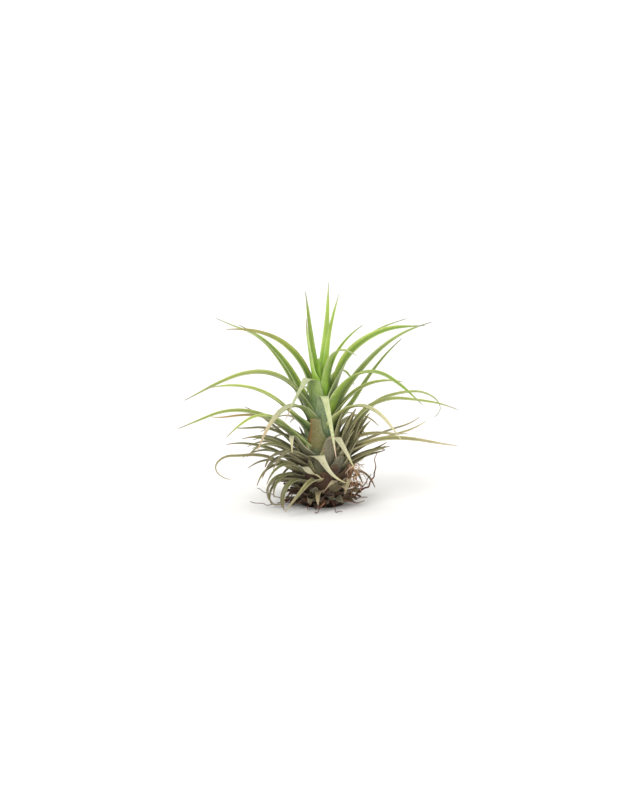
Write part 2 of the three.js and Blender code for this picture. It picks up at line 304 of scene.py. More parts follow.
@dataclass(frozen=True)
class LeafFinish:
    """Colours of a leaf, and how strongly it is marked.

    `inner` is the hollow upper face and `outer` the back. The middle of the hollow face goes over to a
    darker channel colour, which is painted shade in the channel, and the middle of the back to the keel
    colour, which is painted shade under the leaf. `rim` is a pale margin, lightened further as a painted
    highlight, and
    `far_rim` is the second rim. Where the channel, keel or second rim has no colour of its own, it takes
    that of its face or of the first rim. `base` is the leaf's own tone at its foot, brightened on the heart
    leaves as painted glow of light through them and darkened on some arching and lower leaves as painted
    shade where the feet crowd together. `base_to` and `tip_from` are shares of the length, and `bloom` the
    pale scales.
    """

    name: str
    # Foot colour: own tone, with painted glow on heart leaves and painted shade on crowded lower feet.
    base: str
    inner: str
    outer: str
    # Pale margin, lightened further as a painted highlight on the edge.
    rim: str
    tip: str
    base_to: float = 0.35
    tip_from: float = 0.8
    rim_share: float = 0.7
    bloom: float = 0.35
    specks: float = 0.3
    streaks: float = 0.25
    roughness: float = 0.52
    bloom_colour: str = "#c9cfba"
    speck_colour: str = "#2c3a1c"
    far_rim: str = ""
    # Darker middle of the hollow face: painted shade in the channel.
    painted_channel_shade: str = ""
    # Darker middle of the back: painted shade along the keel under the leaf.
    keel: str = ""
    rim_width: float = 0.13

    def material(self) -> bpy.types.Material:
        """Returns the leaf's material."""
        n = Nodes(self.name)
        at = LeafPlace.read(n)
        blotch = n.noise(at.spot, BLOTCH_GRAIN)
        patch = n.noise(at.spot, PATCH_GRAIN, 3.0, 0.65)
        scales = n.add("ShaderNodeTexVoronoi", {"Vector": at.spot, "Scale": BLOOM_GRAIN}).outputs["Distance"]
        dots = n.math("MULTIPLY", n.ramp(scales, 0.12, 0.5, 1.0, 0.0), n.ramp(patch, 0.4, 0.62))
        colour = self.toned(n, at, self.plain(n, at, blotch), blotch)
        fine = n.noise(at.lane(n, FINE_STREAKS), 1.0, 2.0, 0.5)
        height = n.math("ADD", n.math("MULTIPLY", fine, 0.7), n.math("MULTIPLY", dots, 0.5))
        bump = n.add("ShaderNodeBump", {"Strength": 0.55, "Distance": 0.00012, "Height": height})
        spread = n.math("MULTIPLY", patch, LEAF_ROUGHNESS_SPREAD)
        return n.finish(
            {
                "Base Color": self.dusted(n, at, colour, dots),
                "Roughness": n.math("ADD", spread, self.roughness - LEAF_ROUGHNESS_SPREAD / 2.0),
                "Normal": bump.outputs[0],
                "Sheen Weight": 0.12,
                "Sheen Roughness": 0.5,
                "Specular IOR Level": 0.4,
            }
        )

    def plain(self, n: Nodes, at: LeafPlace, blotch: bpy.types.NodeSocket) -> bpy.types.NodeSocket:
        """Colours the faces, the base, the rims and the tip. Painted shade darkens the middle of each face,
        and the rims carry a painted highlight. The base holds painted glow on the heart leaves and painted
        shade on crowded feet.

        Args:
            n: The material's nodes.
            at: The place on the leaf.
            blotch: The broad noise that the borders wander by.

        Returns:
            The colour.
        """
        edge = n.math("PINGPONG", at.around, FACE_MIDDLE)
        # Towards each face's middle the colour darkens: painted shade in the channel and along the keel.
        middle = n.ramp(edge, 0.1, 0.24)
        hollow = n.mix(middle, linear(self.inner), linear(self.painted_channel_shade or self.inner))
        back = n.mix(middle, linear(self.outer), linear(self.keel or self.outer))
        colour = n.mix(n.math("LESS_THAN", at.around, BACK_FROM), back, hollow)
        wander = n.math("MULTIPLY", n.math("SUBTRACT", blotch, 0.5), 0.5)
        moved = n.math("ADD", at.share, wander)
        # The foot takes the base colour, which holds painted glow on heart leaves and painted shade on
        # crowded feet.
        colour = n.mix(n.ramp(moved, 0.0, self.base_to, 1.0, 0.0), colour, linear(self.base))
        colour = self.rimmed(n, at, colour, edge, moved)
        tip = n.ramp(n.math("ADD", at.share, n.math("MULTIPLY", wander, 0.25)), self.tip_from, 1.0)
        return n.mix(tip, colour, linear(self.tip))

    def rimmed(
        self, n: Nodes, at: LeafPlace, colour: bpy.types.NodeSocket, edge: bpy.types.NodeSocket,
        moved: bpy.types.NodeSocket,
    ) -> bpy.types.NodeSocket:
        """Colours the pale rims, with their painted highlight, faintly at the base.

        Args:
            n: The material's nodes.
            at: The place on the leaf.
            colour: The colour so far.
            edge: The turn from the nearest rim.
            moved: The share of the length, moved by the blotches.

        Returns:
            The colour.
        """
        # The rims take the pale margin colour, which carries a painted highlight.
        margin = n.math("MULTIPLY", n.ramp(edge, 0.02, self.rim_width, 1.0, 0.0), self.rim_share)
        margin = n.math("MULTIPLY", margin, n.ramp(moved, 0.0, self.base_to, 0.35, 1.0))
        past_first = n.math("GREATER_THAN", at.around, FACE_MIDDLE)
        before_last = n.math("LESS_THAN", at.around, 1.0 - FACE_MIDDLE)
        second = n.math("MULTIPLY", past_first, before_last)
        rim = n.mix(second, linear(self.rim), linear(self.far_rim or self.rim))
        return n.mix(margin, colour, rim)

    def toned(
        self, n: Nodes, at: LeafPlace, colour: bpy.types.NodeSocket, blotch: bpy.types.NodeSocket,
    ) -> bpy.types.NodeSocket:
        """Adds the streaks, and the tone of the leaf and of its blotches.

        Args:
            n: The material's nodes.
            at: The place on the leaf.
            colour: The colour so far.
            blotch: The broad noise.

        Returns:
            The colour.
        """
        streak = n.noise(at.lane(n, BROAD_STREAKS), 1.0, 3.0, 0.6)
        colour = n.mix(self.streaks, colour, n.grey(streak), "OVERLAY")
        tone = n.ramp(at.shade, 0.0, 1.0, 0.84, 1.14)
        tone = n.math("MULTIPLY", tone, n.ramp(blotch, 0.3, 0.7, 0.92, 1.08))
        return n.mix(1.0, colour, n.grey(tone), "MULTIPLY")

    def dusted(
        self, n: Nodes, at: LeafPlace, colour: bpy.types.NodeSocket, dots: bpy.types.NodeSocket,
    ) -> bpy.types.NodeSocket:
        """Adds the pale scales and the dark specks.

        Args:
            n: The material's nodes.
            at: The place on the leaf.
            colour: The colour so far.
            dots: Where the pale scales are.

        Returns:
            The colour.
        """
        colour = n.mix(n.math("MULTIPLY", dots, self.bloom), colour, linear(self.bloom_colour))
        specks = n.ramp(n.noise(at.spot, SPECK_GRAIN, 2.0, 0.6), 0.56, 0.72)
        return n.mix(n.math("MULTIPLY", specks, self.specks), colour, linear(self.speck_colour))


@dataclass(frozen=True)
class BarkFinish:
    """Dry fibrous brown of the root crown and its roots."""

    name: str
    light: str
    mid: str
    dark: str
    grain: float = 900.0
    roughness: float = 0.78

    def material(self) -> bpy.types.Material:
        """Returns the bark's material."""
        n = Nodes(self.name)
        spot = n.add("ShaderNodeTexCoord").outputs["Object"]
        shade = n.add("ShaderNodeAttribute", attribute_name=SHADE).outputs["Fac"]
        stretched = n.add("ShaderNodeMapping", {"Vector": spot, "Scale": (1.0, 1.0, 0.35)}).outputs[0]
        grain = n.noise(stretched, self.grain, 4.0, 0.7)
        patch = n.noise(spot, 220.0, 3.0, 0.6)
        colour = n.mix(n.ramp(grain, 0.35, 0.65), linear(self.dark), linear(self.mid))
        paler = n.math("MULTIPLY", n.ramp(patch, 0.42, 0.68), n.ramp(shade, 0.0, 1.0, 0.2, 1.0))
        colour = n.mix(paler, colour, linear(self.light))
        tone = n.ramp(shade, 0.0, 1.0, 0.75, 1.2)
        colour = n.mix(1.0, colour, n.grey(tone), "MULTIPLY")
        bump = n.add("ShaderNodeBump", {"Strength": 0.7, "Distance": 0.0002, "Height": grain})
        spread = n.math("MULTIPLY", patch, BARK_ROUGHNESS_SPREAD)
        rough = n.math("ADD", spread, self.roughness - BARK_ROUGHNESS_SPREAD / 2.0)
        return n.finish(
            {"Base Color": colour, "Roughness": rough, "Normal": bump.outputs[0], "Specular IOR Level": 0.25}
        )


class Finish(Enum):
    """The finishes of the plant's pieces."""

    # The bright lime base is the young leaf's own colour, brightened as painted glow of light through it.
    LIME = LeafFinish(
        "lime_heart_leaf", base="#7eac12", inner="#a0b85a", outer="#a9ba76", rim="#c0cc8e",
        tip="#aaa688", painted_channel_shade="#93aa48", keel="#9bb05e", base_to=0.68, tip_from=0.8, bloom=0.28, specks=0.12,
    )
    # Lime base brightened as painted glow of light through the young leaf.
    YOUNG = LeafFinish(
        "young_heart_leaf", base="#78a60e", inner="#8ab42a", outer="#8fb53a", rim="#a9c463",
        tip="#a3b35c", painted_channel_shade="#80aa20", keel="#84ac2c", base_to=0.7, tip_from=0.85, bloom=0.12, specks=0.1,
    )
    # Lime base brightened as painted glow of light through the young leaf.
    RUSTY_LIME = LeafFinish(
        "rusty_edged_heart_leaf", base="#7eac12", inner="#a3b768", outer="#a2b56a", rim="#c0cc8e",
        tip="#8f7a60", keel="#94aa56", base_to=0.7, tip_from=0.75, bloom=0.2, specks=0.12, far_rim="#94683c",
    )
    GREEN = LeafFinish(
        "green_leaf", base="#68843c", inner="#a9bc50", outer="#b2be8a", rim="#d2da9c",
        tip="#82776a", painted_channel_shade="#6a8a1c", keel="#9cac66", base_to=0.3, tip_from=0.86, bloom=0.35,
        specks=0.25, rim_share=0.8,
    )
    RUSTY = LeafFinish(
        "rusty_edged_leaf", base="#66803e", inner="#9eb046", outer="#b2bd88", rim="#c8ce90",
        tip="#97893c", painted_channel_shade="#66861c", keel="#9eac66", base_to=0.3, tip_from=0.35, bloom=0.35,
        specks=0.25, rim_share=0.85, far_rim="#97704a",
    )
    # Dark back, keel and base: painted shade under the arch and where the feet crowd together.
    ARCH = LeafFinish(
        "arching_leaf", base="#4a6636", inner="#b0ba62", outer="#94a04a", rim="#cbd296",
        tip="#8c8068", painted_channel_shade="#84932c", keel="#6e7e26", base_to=0.5, tip_from=0.86, bloom=0.3,
        specks=0.25, rim_share=0.9,
    )
    DUSTY = LeafFinish(
        "dusty_leaf", base="#66823a", inner="#b2c078", outer="#aab672", rim="#d0d8a2",
        tip="#82776a", painted_channel_shade="#7f9438", keel="#88984a", base_to=0.3, tip_from=0.84, bloom=0.4,
        specks=0.25, rim_share=0.8,
    )
    # Back and keel darker than the hollow face: painted shade under the arch.
    OLD_ARCH = LeafFinish(
        "tan_footed_arch", base="#857a58", inner="#a9b45a", outer="#8f994e", rim="#c9cd94",
        tip="#8c8068", painted_channel_shade="#7f8e34", keel="#717c34", base_to=0.75, tip_from=0.86, bloom=0.3,
        specks=0.25, rim_share=0.9,
    )
    LUSH = LeafFinish(
        "lush_arch", base="#66863a", inner="#98ac3c", outer="#94ae42", rim="#cdd898",
        tip="#98967a", painted_channel_shade="#6a8a1c", keel="#84a030", base_to=0.3, tip_from=0.86, bloom=0.35,
        specks=0.25, rim_share=0.8,
    )
    GREY_COLUMN = LeafFinish(
        "grey_sheathing_leaf", base="#5a7156", inner="#b4b886", outer="#8b9866", rim="#b4c294",
        tip="#d2b09a", keel="#7d8a58", base_to=0.6, tip_from=0.8, bloom=0.5, specks=0.45,
    )
    BUNCHED = LeafFinish(
        "bunched_tan_leaf", base="#625a3a", inner="#918b60", outer="#8c8662", rim="#aaa280",
        tip="#8f8a60", painted_channel_shade="#7c774c", keel="#7d7852", base_to=0.4, tip_from=0.7, bloom=0.4, specks=0.35,
    )
    GREEN_SHEATH = LeafFinish(
        "green_sheath", base="#546e52", inner="#7a8c4c", outer="#7c8c5e", rim="#9cac7c",
        tip="#7f9252", base_to=0.6, tip_from=0.8, bloom=0.3, specks=0.2,
    )
    # Back and keel darker than the hollow face: painted shade under the arch.
    FADING = LeafFinish(
        "fading_arch", base="#566a36", inner="#b2b27a", outer="#838a42", rim="#cdd19a",
        tip="#cbc199", painted_channel_shade="#95965a", keel="#6c7532", base_to=0.35, tip_from=0.35, bloom=0.35,
        specks=0.25, rim_share=0.85,
    )
    COLUMN = LeafFinish(
        "sheathing_leaf", base="#5c7658", inner="#b4ba8c", outer="#a6be5c", rim="#bccc9a",
        tip="#d2b09a", keel="#8fa658", base_to=0.7, tip_from=0.8, bloom=0.5, specks=0.45,
    )
    TAN_COLUMN = LeafFinish(
        "tan_tipped_sheathing_leaf", base="#66784c", inner="#b2b486", outer="#98a658", rim="#c2c496",
        tip="#ccb08c", keel="#7c8c40", base_to=0.5, tip_from=0.5, bloom=0.45, specks=0.35,
    )
    # The dark base is partly painted shade where the lower leaves' feet crowd together.
    OLIVE = LeafFinish(
        "olive_leaf", base="#474126", inner="#84834a", outer="#88855c", rim="#b4ad82",
        tip="#86684a", painted_channel_shade="#5e6036", keel="#6e6e46", base_to=0.48, tip_from=0.84, bloom=0.38,
        specks=0.35, rim_share=0.8,
    )
    OCHRE = LeafFinish(
        "ochre_tipped_leaf", base="#4f5030", inner="#8f8a4c", outer="#8f8a58", rim="#bcb084",
        tip="#a4791a", painted_channel_shade="#63663a", keel="#7a7448", base_to=0.4, tip_from=0.45, bloom=0.3, specks=0.35,
    )
    TAN = LeafFinish(
        "tan_olive_leaf", base="#57502f", inner="#a19a64", outer="#989066", rim="#c6ba92",
        tip="#b3a47c", painted_channel_shade="#7c7646", keel="#878054", base_to=0.35, tip_from=0.6, bloom=0.38, specks=0.35,
    )
    # The dark base is partly painted shade where the lower leaves' feet crowd together.
    GREY = LeafFinish(
        "grey_green_leaf", base="#473d29", inner="#7e7852", outer="#857e5c", rim="#b0a884",
        tip="#84684c", painted_channel_shade="#605a3c", keel="#726b4c", base_to=0.48, tip_from=0.84, bloom=0.42, specks=0.4,
    )
    PALE = LeafFinish(
        "folded_pale_leaf", base="#5d5b46", inner="#c0bb98", outer="#7a7758", rim="#ccc8a6",
        tip="#bdb380", base_to=0.4, tip_from=0.7, bloom=0.4, specks=0.35,
    )
    STUB = LeafFinish(
        "broken_leaf", base="#42584a", inner="#7d7648", outer="#706a3e", rim="#7d845a",
        tip="#c4ab7a", base_to=0.45, tip_from=0.95, bloom=0.3, specks=0.45, far_rim="#a0602a",
        rim_share=0.95, rim_width=0.22,
    )
    OLD_SHEATH = LeafFinish(
        "old_sheath", base="#4a4534", inner="#5c5743", outer="#6b6650", rim="#8f886c",
        tip="#8a6c42", base_to=0.4, tip_from=0.92, bloom=0.4, specks=0.6,
    )
    WITHERED = LeafFinish(
        "withered_leaf", base="#483824", inner="#9b8e6a", outer="#776a4c", rim="#b1a480",
        tip="#7c6048", base_to=0.4, tip_from=0.8, bloom=0.35, specks=0.45, roughness=0.7,
    )
    SCALE = LeafFinish(
        "dry_scale", base="#241309", inner="#452c17", outer="#4a2f1b", rim="#6e5636",
        tip="#5c4228", base_to=0.6, tip_from=0.85, bloom=0.14, specks=0.6, roughness=0.75,
    )
    STEM = BarkFinish("hidden_stem", light="#6f7c42", mid="#4f5c30", dark="#2f391c")
    CROWN = BarkFinish("root_crown", light="#463022", mid="#28190f", dark="#100905")
    MAT = BarkFinish("matted_root", light="#5e4632", mid="#382a1e", dark="#1c140d", grain=1500.0)
    ROOT = BarkFinish("dry_root", light="#8e6046", mid="#633f2d", dark="#321d12", grain=1500.0)
    FIBRE = BarkFinish("root_fibre", light="#ecd0ae", mid="#cda27c", dark="#96694a", grain=1800.0)


# ---- Leaves ----

# Millimetres: how deep inside the stem a leaf starts, how near to the axis it may, and how far its
# foot runs back from there.
ROOT_SINK = 1.4
LEAST_START = 0.4
SHEATH_FOOT = 3.0

# Shares of a leaf's length: where its sheath ends, where its roll is full, and how far on from a fold
# it is waisted.
SHEATH_SHARE = 0.3
ROLL_SHARE = 0.5
WAIST_REACH = 0.16

# Half the angle that the section wraps through, in radians.
SHEATH_CURL = 1.05
BLADE_CURL = 0.8
TIP_CURL = 1.15
LEAST_CURL = 0.12

# Millimetres: a leaf's width at its tip, how low its line may sink, and how low any of its corners may.
TIP_WIDTH = 0.7
LEAF_CLEARANCE = 1.2
GROUND_GAP = 0.05

# Steps in which a leaf's line is walked.
STRIDES = 160


class LeafEnd(Enum):
    """How a leaf ends."""

    NEEDLE = "needle"
    BROKEN = "broken"
    ROUNDED = "rounded"


@dataclass(frozen=True)
class Leaf:
    """One leaf: where it leaves the stem, and its rises and headings at even steps along it.

    `cut` is the share of the length that is left, `roll` the turn about its line, and `wave` how far its
    rims are bent. `sheath` is the extra width at the foot, `lowest` how low its line may sink, and
    `waist` the share of the width that is left past a fold.
    """

    root: float
    length: float
    rises: tuple[float, ...]
    headings: tuple[float, ...]
    width: float
    finish: Finish
    cut: float = 1.0
    end: LeafEnd = LeafEnd.NEEDLE
    roll: float = 0.0
    wave: float = 0.0
    sheath: float = 3.4
    lowest: float = LEAF_CLEARANCE
    waist: float = 1.0

    def folds(self) -> list[float]:
        """Finds the folds.

        Returns:
            The shares of the length at which the leaf is folded over.
        """
        steps = len(self.rises) - 1
        turns = zip(self.rises, self.rises[1:])
        return [(i + 0.5) / steps for i, (a, b) in enumerate(turns) if abs(b - a) > FOLD_TURN]


@dataclass(frozen=True)
class Station:
    """A place on a leaf's line, with the axes of its section."""

    place: Vector
    sideways: Vector
    upward: Vector
    ahead: Vector


class LeafLine:
    """The line that a leaf follows from inside the stem to its tip."""

    def __init__(self, leaf: Leaf) -> None:
        """Walks along the leaf.

        Args:
            leaf: The leaf.
        """
        self.leaf = leaf
        azimuth = math.radians(leaf.headings[0])
        start = max(stem_radius(leaf.root) - ROOT_SINK, LEAST_START)
        place = Vector((start * math.cos(azimuth), start * math.sin(azimuth), leaf.root))
        stride = leaf.length * leaf.cut / STRIDES
        self.stations: list[Station] = []
        for i in range(STRIDES + 1):
            station = self._station(place, i / STRIDES * leaf.cut)
            self.stations.append(station)
            place = place + station.ahead * stride
            place.z = max(place.z, leaf.lowest)

    def _station(self, place: Vector, share: float) -> Station:
        """Sets up a station.

        Args:
            place: Its place.
            share: The share of the length there.

        Returns:
            The station.
        """
        rise = math.radians(along(self.leaf.rises, share, CREASE))
        heading = math.radians(along(self.leaf.headings, share))
        out = Vector((math.cos(heading), math.sin(heading), 0.0))
        ahead = out * math.cos(rise) + Vector((0.0, 0.0, math.sin(rise)))
        upward = out * -math.sin(rise) + Vector((0.0, 0.0, math.cos(rise)))
        turn = Matrix.Rotation(math.radians(self.leaf.roll) * eased(share, 0.0, ROLL_SHARE), 3, ahead)
        return Station(place.copy(), turn @ ahead.cross(upward), turn @ upward, ahead)

    def at(self, share: float) -> Station:
        """Finds the station at a share of the walked length.

        Args:
            share: The share. Below 0 the line runs straight on into the stem.

        Returns:
            The station.
        """
        if share <= 0.0:
            first = self.stations[0]
            back = first.ahead * (share * self.leaf.length * self.leaf.cut)
            return Station(first.place + back, first.sideways, first.upward, first.ahead)
        at = clamp(share) * STRIDES
        index = min(int(at), STRIDES - 1)
        a, b, part = self.stations[index], self.stations[index + 1], at - index
        return Station(
            a.place.lerp(b.place, part),
            a.sideways.lerp(b.sideways, part).normalized(),
            a.upward.lerp(b.upward, part).normalized(),
            a.ahead.lerp(b.ahead, part).normalized(),
        )


@dataclass
class Blade:
    """Wraps a grid round the crescent section of a leaf. One edge of the grid meets the other at a rim.

    `keel` and `tip_keel` are the thickness in the middle at foot and tip, in millimetres, and `margin` is
    the share of it that is left at the rims. Each field named a part is the share of the grid in which
    that end of the leaf closes.
    """

    leaf: Leaf
    counter: int
    columns: int = 16
    keel: float = 0.8
    tip_keel: float = 0.24
    margin: float = 0.45
    fullness: float = 0.6
    slim_from: float = 0.78
    slimming: float = 0.5
    fold_reach: float = 1.8
    flattening: float = 0.8
    foot_part: float = 0.015
    end_part: float = 0.03
    rounded_part: float = 0.28
    broken_end: float = 0.97
    waves_per_mm: float = 0.75
    rows_per_mm: float = 1.25
    fewest_rows: int = 18
    most_rows: int = 64
    line: LeafLine = field(init=False)

    def __post_init__(self) -> None:
        """Walks along the leaf's line."""
        self.line = LeafLine(self.leaf)

    def width(self, share: float) -> float:
        """Works out the width across the flattened leaf.

        Args:
            share: The share of its length.

        Returns:
            The width, in millimetres.
        """
        sheath = self.leaf.sheath * (1.0 - eased(share, 0.0, SHEATH_SHARE))
        slim = 1.0 - self.slimming * eased(share, self.slim_from, 1.0)
        for fold in self.leaf.folds():
            slim *= between(1.0, self.leaf.waist, eased(share, fold, fold + WAIST_REACH))
        return sheath + between(self.leaf.width, TIP_WIDTH, max(share, 0.0)) * slim

    def curl(self, share: float) -> float:
        """Works out how far the section is curled. A fold flattens it.

        Args:
            share: The share of the leaf's length.

        Returns:
            Half the angle that the section wraps through, in radians.
        """
        curl = between(SHEATH_CURL, BLADE_CURL, clamp(share / SHEATH_SHARE))
        curl = between(curl, TIP_CURL, eased(share, 0.6, 1.0))
        for fold in self.leaf.folds():
            reach = (share - fold) * self.leaf.length / self.fold_reach
            curl *= 1.0 - self.flattening * math.exp(-reach * reach)
        return max(curl, LEAST_CURL)

    def closing(self, part: float) -> float:
        """Works out how far the section is open.

        Args:
            part: The part of the way along the grid.

        Returns:
            The share that it is open, from 0 where it closes to a point.
        """
        opened = clamp(part / self.foot_part)
        if self.leaf.end is LeafEnd.NEEDLE:
            return opened * math.sqrt(clamp((1.0 - part) / self.end_part))
        if self.leaf.end is LeafEnd.BROKEN:
            return opened * clamp((1.0 - part) / self.end_part)
        rounded = clamp((part - (1.0 - self.rounded_part)) / self.rounded_part)
        return opened * math.sqrt(max(0.0, 1.0 - rounded * rounded))

    def spot(self, part: float, turn: float) -> Vector:
        """Returns the place of a grid corner.

        Args:
            part: How far along the grid, from 0 at the foot to 1 at the end.
            turn: How far round the section, from 0 to 1. The first half is the hollow face.

        Returns:
            The place, in millimetres.
        """
        leaf = self.leaf
        foot = SHEATH_FOOT / (leaf.length * leaf.cut)
        walked = between(-foot, 1.0, part)
        if leaf.end is LeafEnd.BROKEN:
            walked = min(between(-foot, 1.0, part / self.broken_end), 1.0)
        share = walked * leaf.cut
        station = self.line.at(walked)
        closing = self.closing(part)
        angle = turn * math.tau
        side = -math.cos(angle) * closing
        curl = self.curl(share)
        radius = self.width(share) / (2.0 * curl)
        keel = between(self.keel, self.tip_keel, clamp(share)) * closing
        thick = keel * between(self.margin, 1.0, 1.0 - side * side)
        body = math.copysign(abs(math.sin(angle)) ** self.fullness, math.sin(angle))
        lift = radius * (1.0 - math.cos(side * curl)) - keel * 0.5 + body * thick * 0.5
        lift += self.ripple(share, side)
        across = radius * math.sin(side * curl)
        return station.place + station.sideways * across + station.upward * lift

    def ripple(self, share: float, side: float) -> float:
        """Works out how far a dry leaf's rim is bent up or down.

        Args:
            share: The share of the leaf's length.
            side: The place across the leaf, from -1 to 1.

        Returns:
            The bend, in millimetres.
        """
        phase = self.counter * 1.7 + (2.1 if side > 0.0 else 0.0)
        swell = math.sin(share * self.leaf.length * self.waves_per_mm + phase)
        return self.leaf.wave * side * side * swell * eased(share, 0.1, 0.3)

    def build(self, mesh: bmesh.types.BMesh, slot: int) -> None:
        """Adds the leaf to a mesh.

        Args:
            mesh: The mesh, with the leaf map and the shade of each leaf as layers.
            slot: The index of the leaf's material.
        """
        wanted = self.leaf.length * self.leaf.cut * self.rows_per_mm
        rows = round(clamp(wanted, self.fewest_rows, self.most_rows))
        grid = bmesh.ops.create_grid(mesh, x_segments=rows, y_segments=self.columns, size=1.0, calc_uvs=True)
        shade = mesh.verts.layers.float[SHADE]
        tone = draw(self.counter, 2.3)
        faces = {face for vert in grid["verts"] for face in vert.link_faces}
        for face in faces:
            face.material_index = slot
            face.smooth = True
        for vert in grid["verts"]:
            place = self.spot((vert.co.x + 1.0) / 2.0, (vert.co.y + 1.0) / 2.0)
            place.z = max(place.z, GROUND_GAP)
            vert.co = place * MM
            vert[shade] = tone
        bmesh.ops.remove_doubles(mesh, verts=grid["verts"], dist=MERGE_REACH)


@dataclass(frozen=True)
class FarSide:
    """Leaves of the far side, each a golden angle on from the last.

    `roots` are the lowest and highest height at which one leaves the stem, and `azimuths` the ends of
    their arc. `length` is the shortest length, and `rise` and `droop` are the angles at foot and tip.
    """

    count: int
    roots: tuple[float, float]
    azimuths: tuple[float, float]
    length: float
    rise: float
    droop: float
    seed: int
    finish: Finish
    width: float = 3.8
    longer: float = 6.0
    steeper: float = 8.0
    deeper: float = 14.0
    swing: float = 16.0
    back: float = 90.0
    reach: float = 48.0
    lower_at_reach: float = 14.0

    def leaves(self) -> list[Leaf]:
        """Grows the leaves.

        Returns:
            The leaves.
        """
        leaves = []
        for i in range(self.count):
            around = between(*self.azimuths, (i * GOLDEN_ANGLE / 360.0) % 1.0)
            off_back = abs((around - self.back) / self.reach)
            first = self.rise + self.steeper * draw(i, self.seed) - self.lower_at_reach * off_back
            last = self.droop - self.deeper * draw(i, self.seed + 1)
            turn = self.swing * (draw(i, self.seed + 2) - 0.5)
            rises = (first, between(first, last, 0.3), between(first, last, 0.7), last)
            root = between(self.roots[1], self.roots[0], (i + 0.5) / self.count)
            length = self.length + self.longer * draw(i, self.seed + 3)
            leaves.append(Leaf(root, length, rises, (around, around + turn), self.width, self.finish))
        return leaves


HEART_LEAVES = (
    Leaf(44, 34, (68, 80, 81, 81), (134,), 4.8, Finish.LIME),
    Leaf(43, 26, (70, 80, 80, 90), (210,), 3.4, Finish.RUSTY_LIME),
    Leaf(43, 38, (80, 78, 80, 86, 90), (80, 60, 60), 4.8, Finish.LIME),
    Leaf(43, 34.5, (84, 82, 79, 73, 67, 68), (62, 50, 50), 3.6, Finish.LIME),
    Leaf(36.2, 36, (90, 87, 56, 5, -20), (298, 308), 5, Finish.LIME, roll=12),
    Leaf(42, 28, (84, 74, 56, 44, 32), (34, 10), 3.4, Finish.GREEN, roll=15),
    Leaf(42, 10, (80, 85, 80), (104,), 3, Finish.LIME),
)

# Short young leaves that close the middle of the heart.
INNER_HEART = (
    Leaf(45, 8, (80, 88, 92), (350,), 3.4, Finish.YOUNG),
    Leaf(45, 9, (82, 88, 90), (230,), 3.4, Finish.YOUNG),
    Leaf(44, 12, (78, 84, 80), (180,), 3.4, Finish.YOUNG),
    Leaf(44, 11, (76, 80, 76), (20,), 3.4, Finish.YOUNG),
)

UPPER_LEAVES = (
    Leaf(33.6, 53.4, (84, 78, 64, 42, 25, 6, 4), (352,), 8.8, Finish.GREEN, roll=35),
    Leaf(35, 47, (76, 73, 65, 46, 31, 18, 14), (18,), 5.4, Finish.GREEN),
    Leaf(31, 57, (62, 54, 45, 39, 27, 16, 9), (30,), 5, Finish.DUSTY, roll=15),
    Leaf(27.8, 44, (30, 40, 53, 49, 44, 38), (42, 20), 3.5, Finish.DUSTY, roll=15),
    Leaf(31, 57, (74, 65, 36, 8, -19, -28, -30), (322, 314), 5.6, Finish.LUSH, roll=10),
    Leaf(28, 35, (85, 55, 35, 10, -10), (350,), 5.6, Finish.ARCH, roll=20),
    Leaf(34.6, 50, (84, 78, 60, 40, 19, 5, -6), (168,), 6.2, Finish.RUSTY, roll=-25),
    Leaf(30, 48, (62, 66, 58, 48, 38, 24, 20), (150,), 5.6, Finish.GREEN, roll=-10),
    Leaf(30, 62, (50, 55, 40, 10, 15), (140,), 4.2, Finish.GREEN),
    Leaf(31, 58, (72, 58, 30, 0, -20, -25, -25), (188, 196), 6, Finish.ARCH, roll=-18),
    Leaf(27, 46, (46, 44, 41, 28, 13, 0, -8), (200,), 6, Finish.ARCH, roll=-16),
    Leaf(
        29, 38, (84, 84, 82, 72, -46, -54, -60, -62), (240, 240, 238, 230, 216, 212, 210),
        9.6, Finish.COLUMN, sheath=0.8, waist=0.6,
    ),
    Leaf(
        25.4, 44, (85, 88, 80, -20, -52, -56, -58, -58), (273, 273, 279, 287, 287, 287),
        5.8, Finish.GREY_COLUMN, sheath=6, waist=0.76,
    ),
    Leaf(28, 38, (75, 50, -5, -40, -55, -60), (220,), 6.6, Finish.TAN_COLUMN),
    Leaf(26.4, 41, (76, 40, -6, -38, -42), (324, 318), 6, Finish.FADING),
)

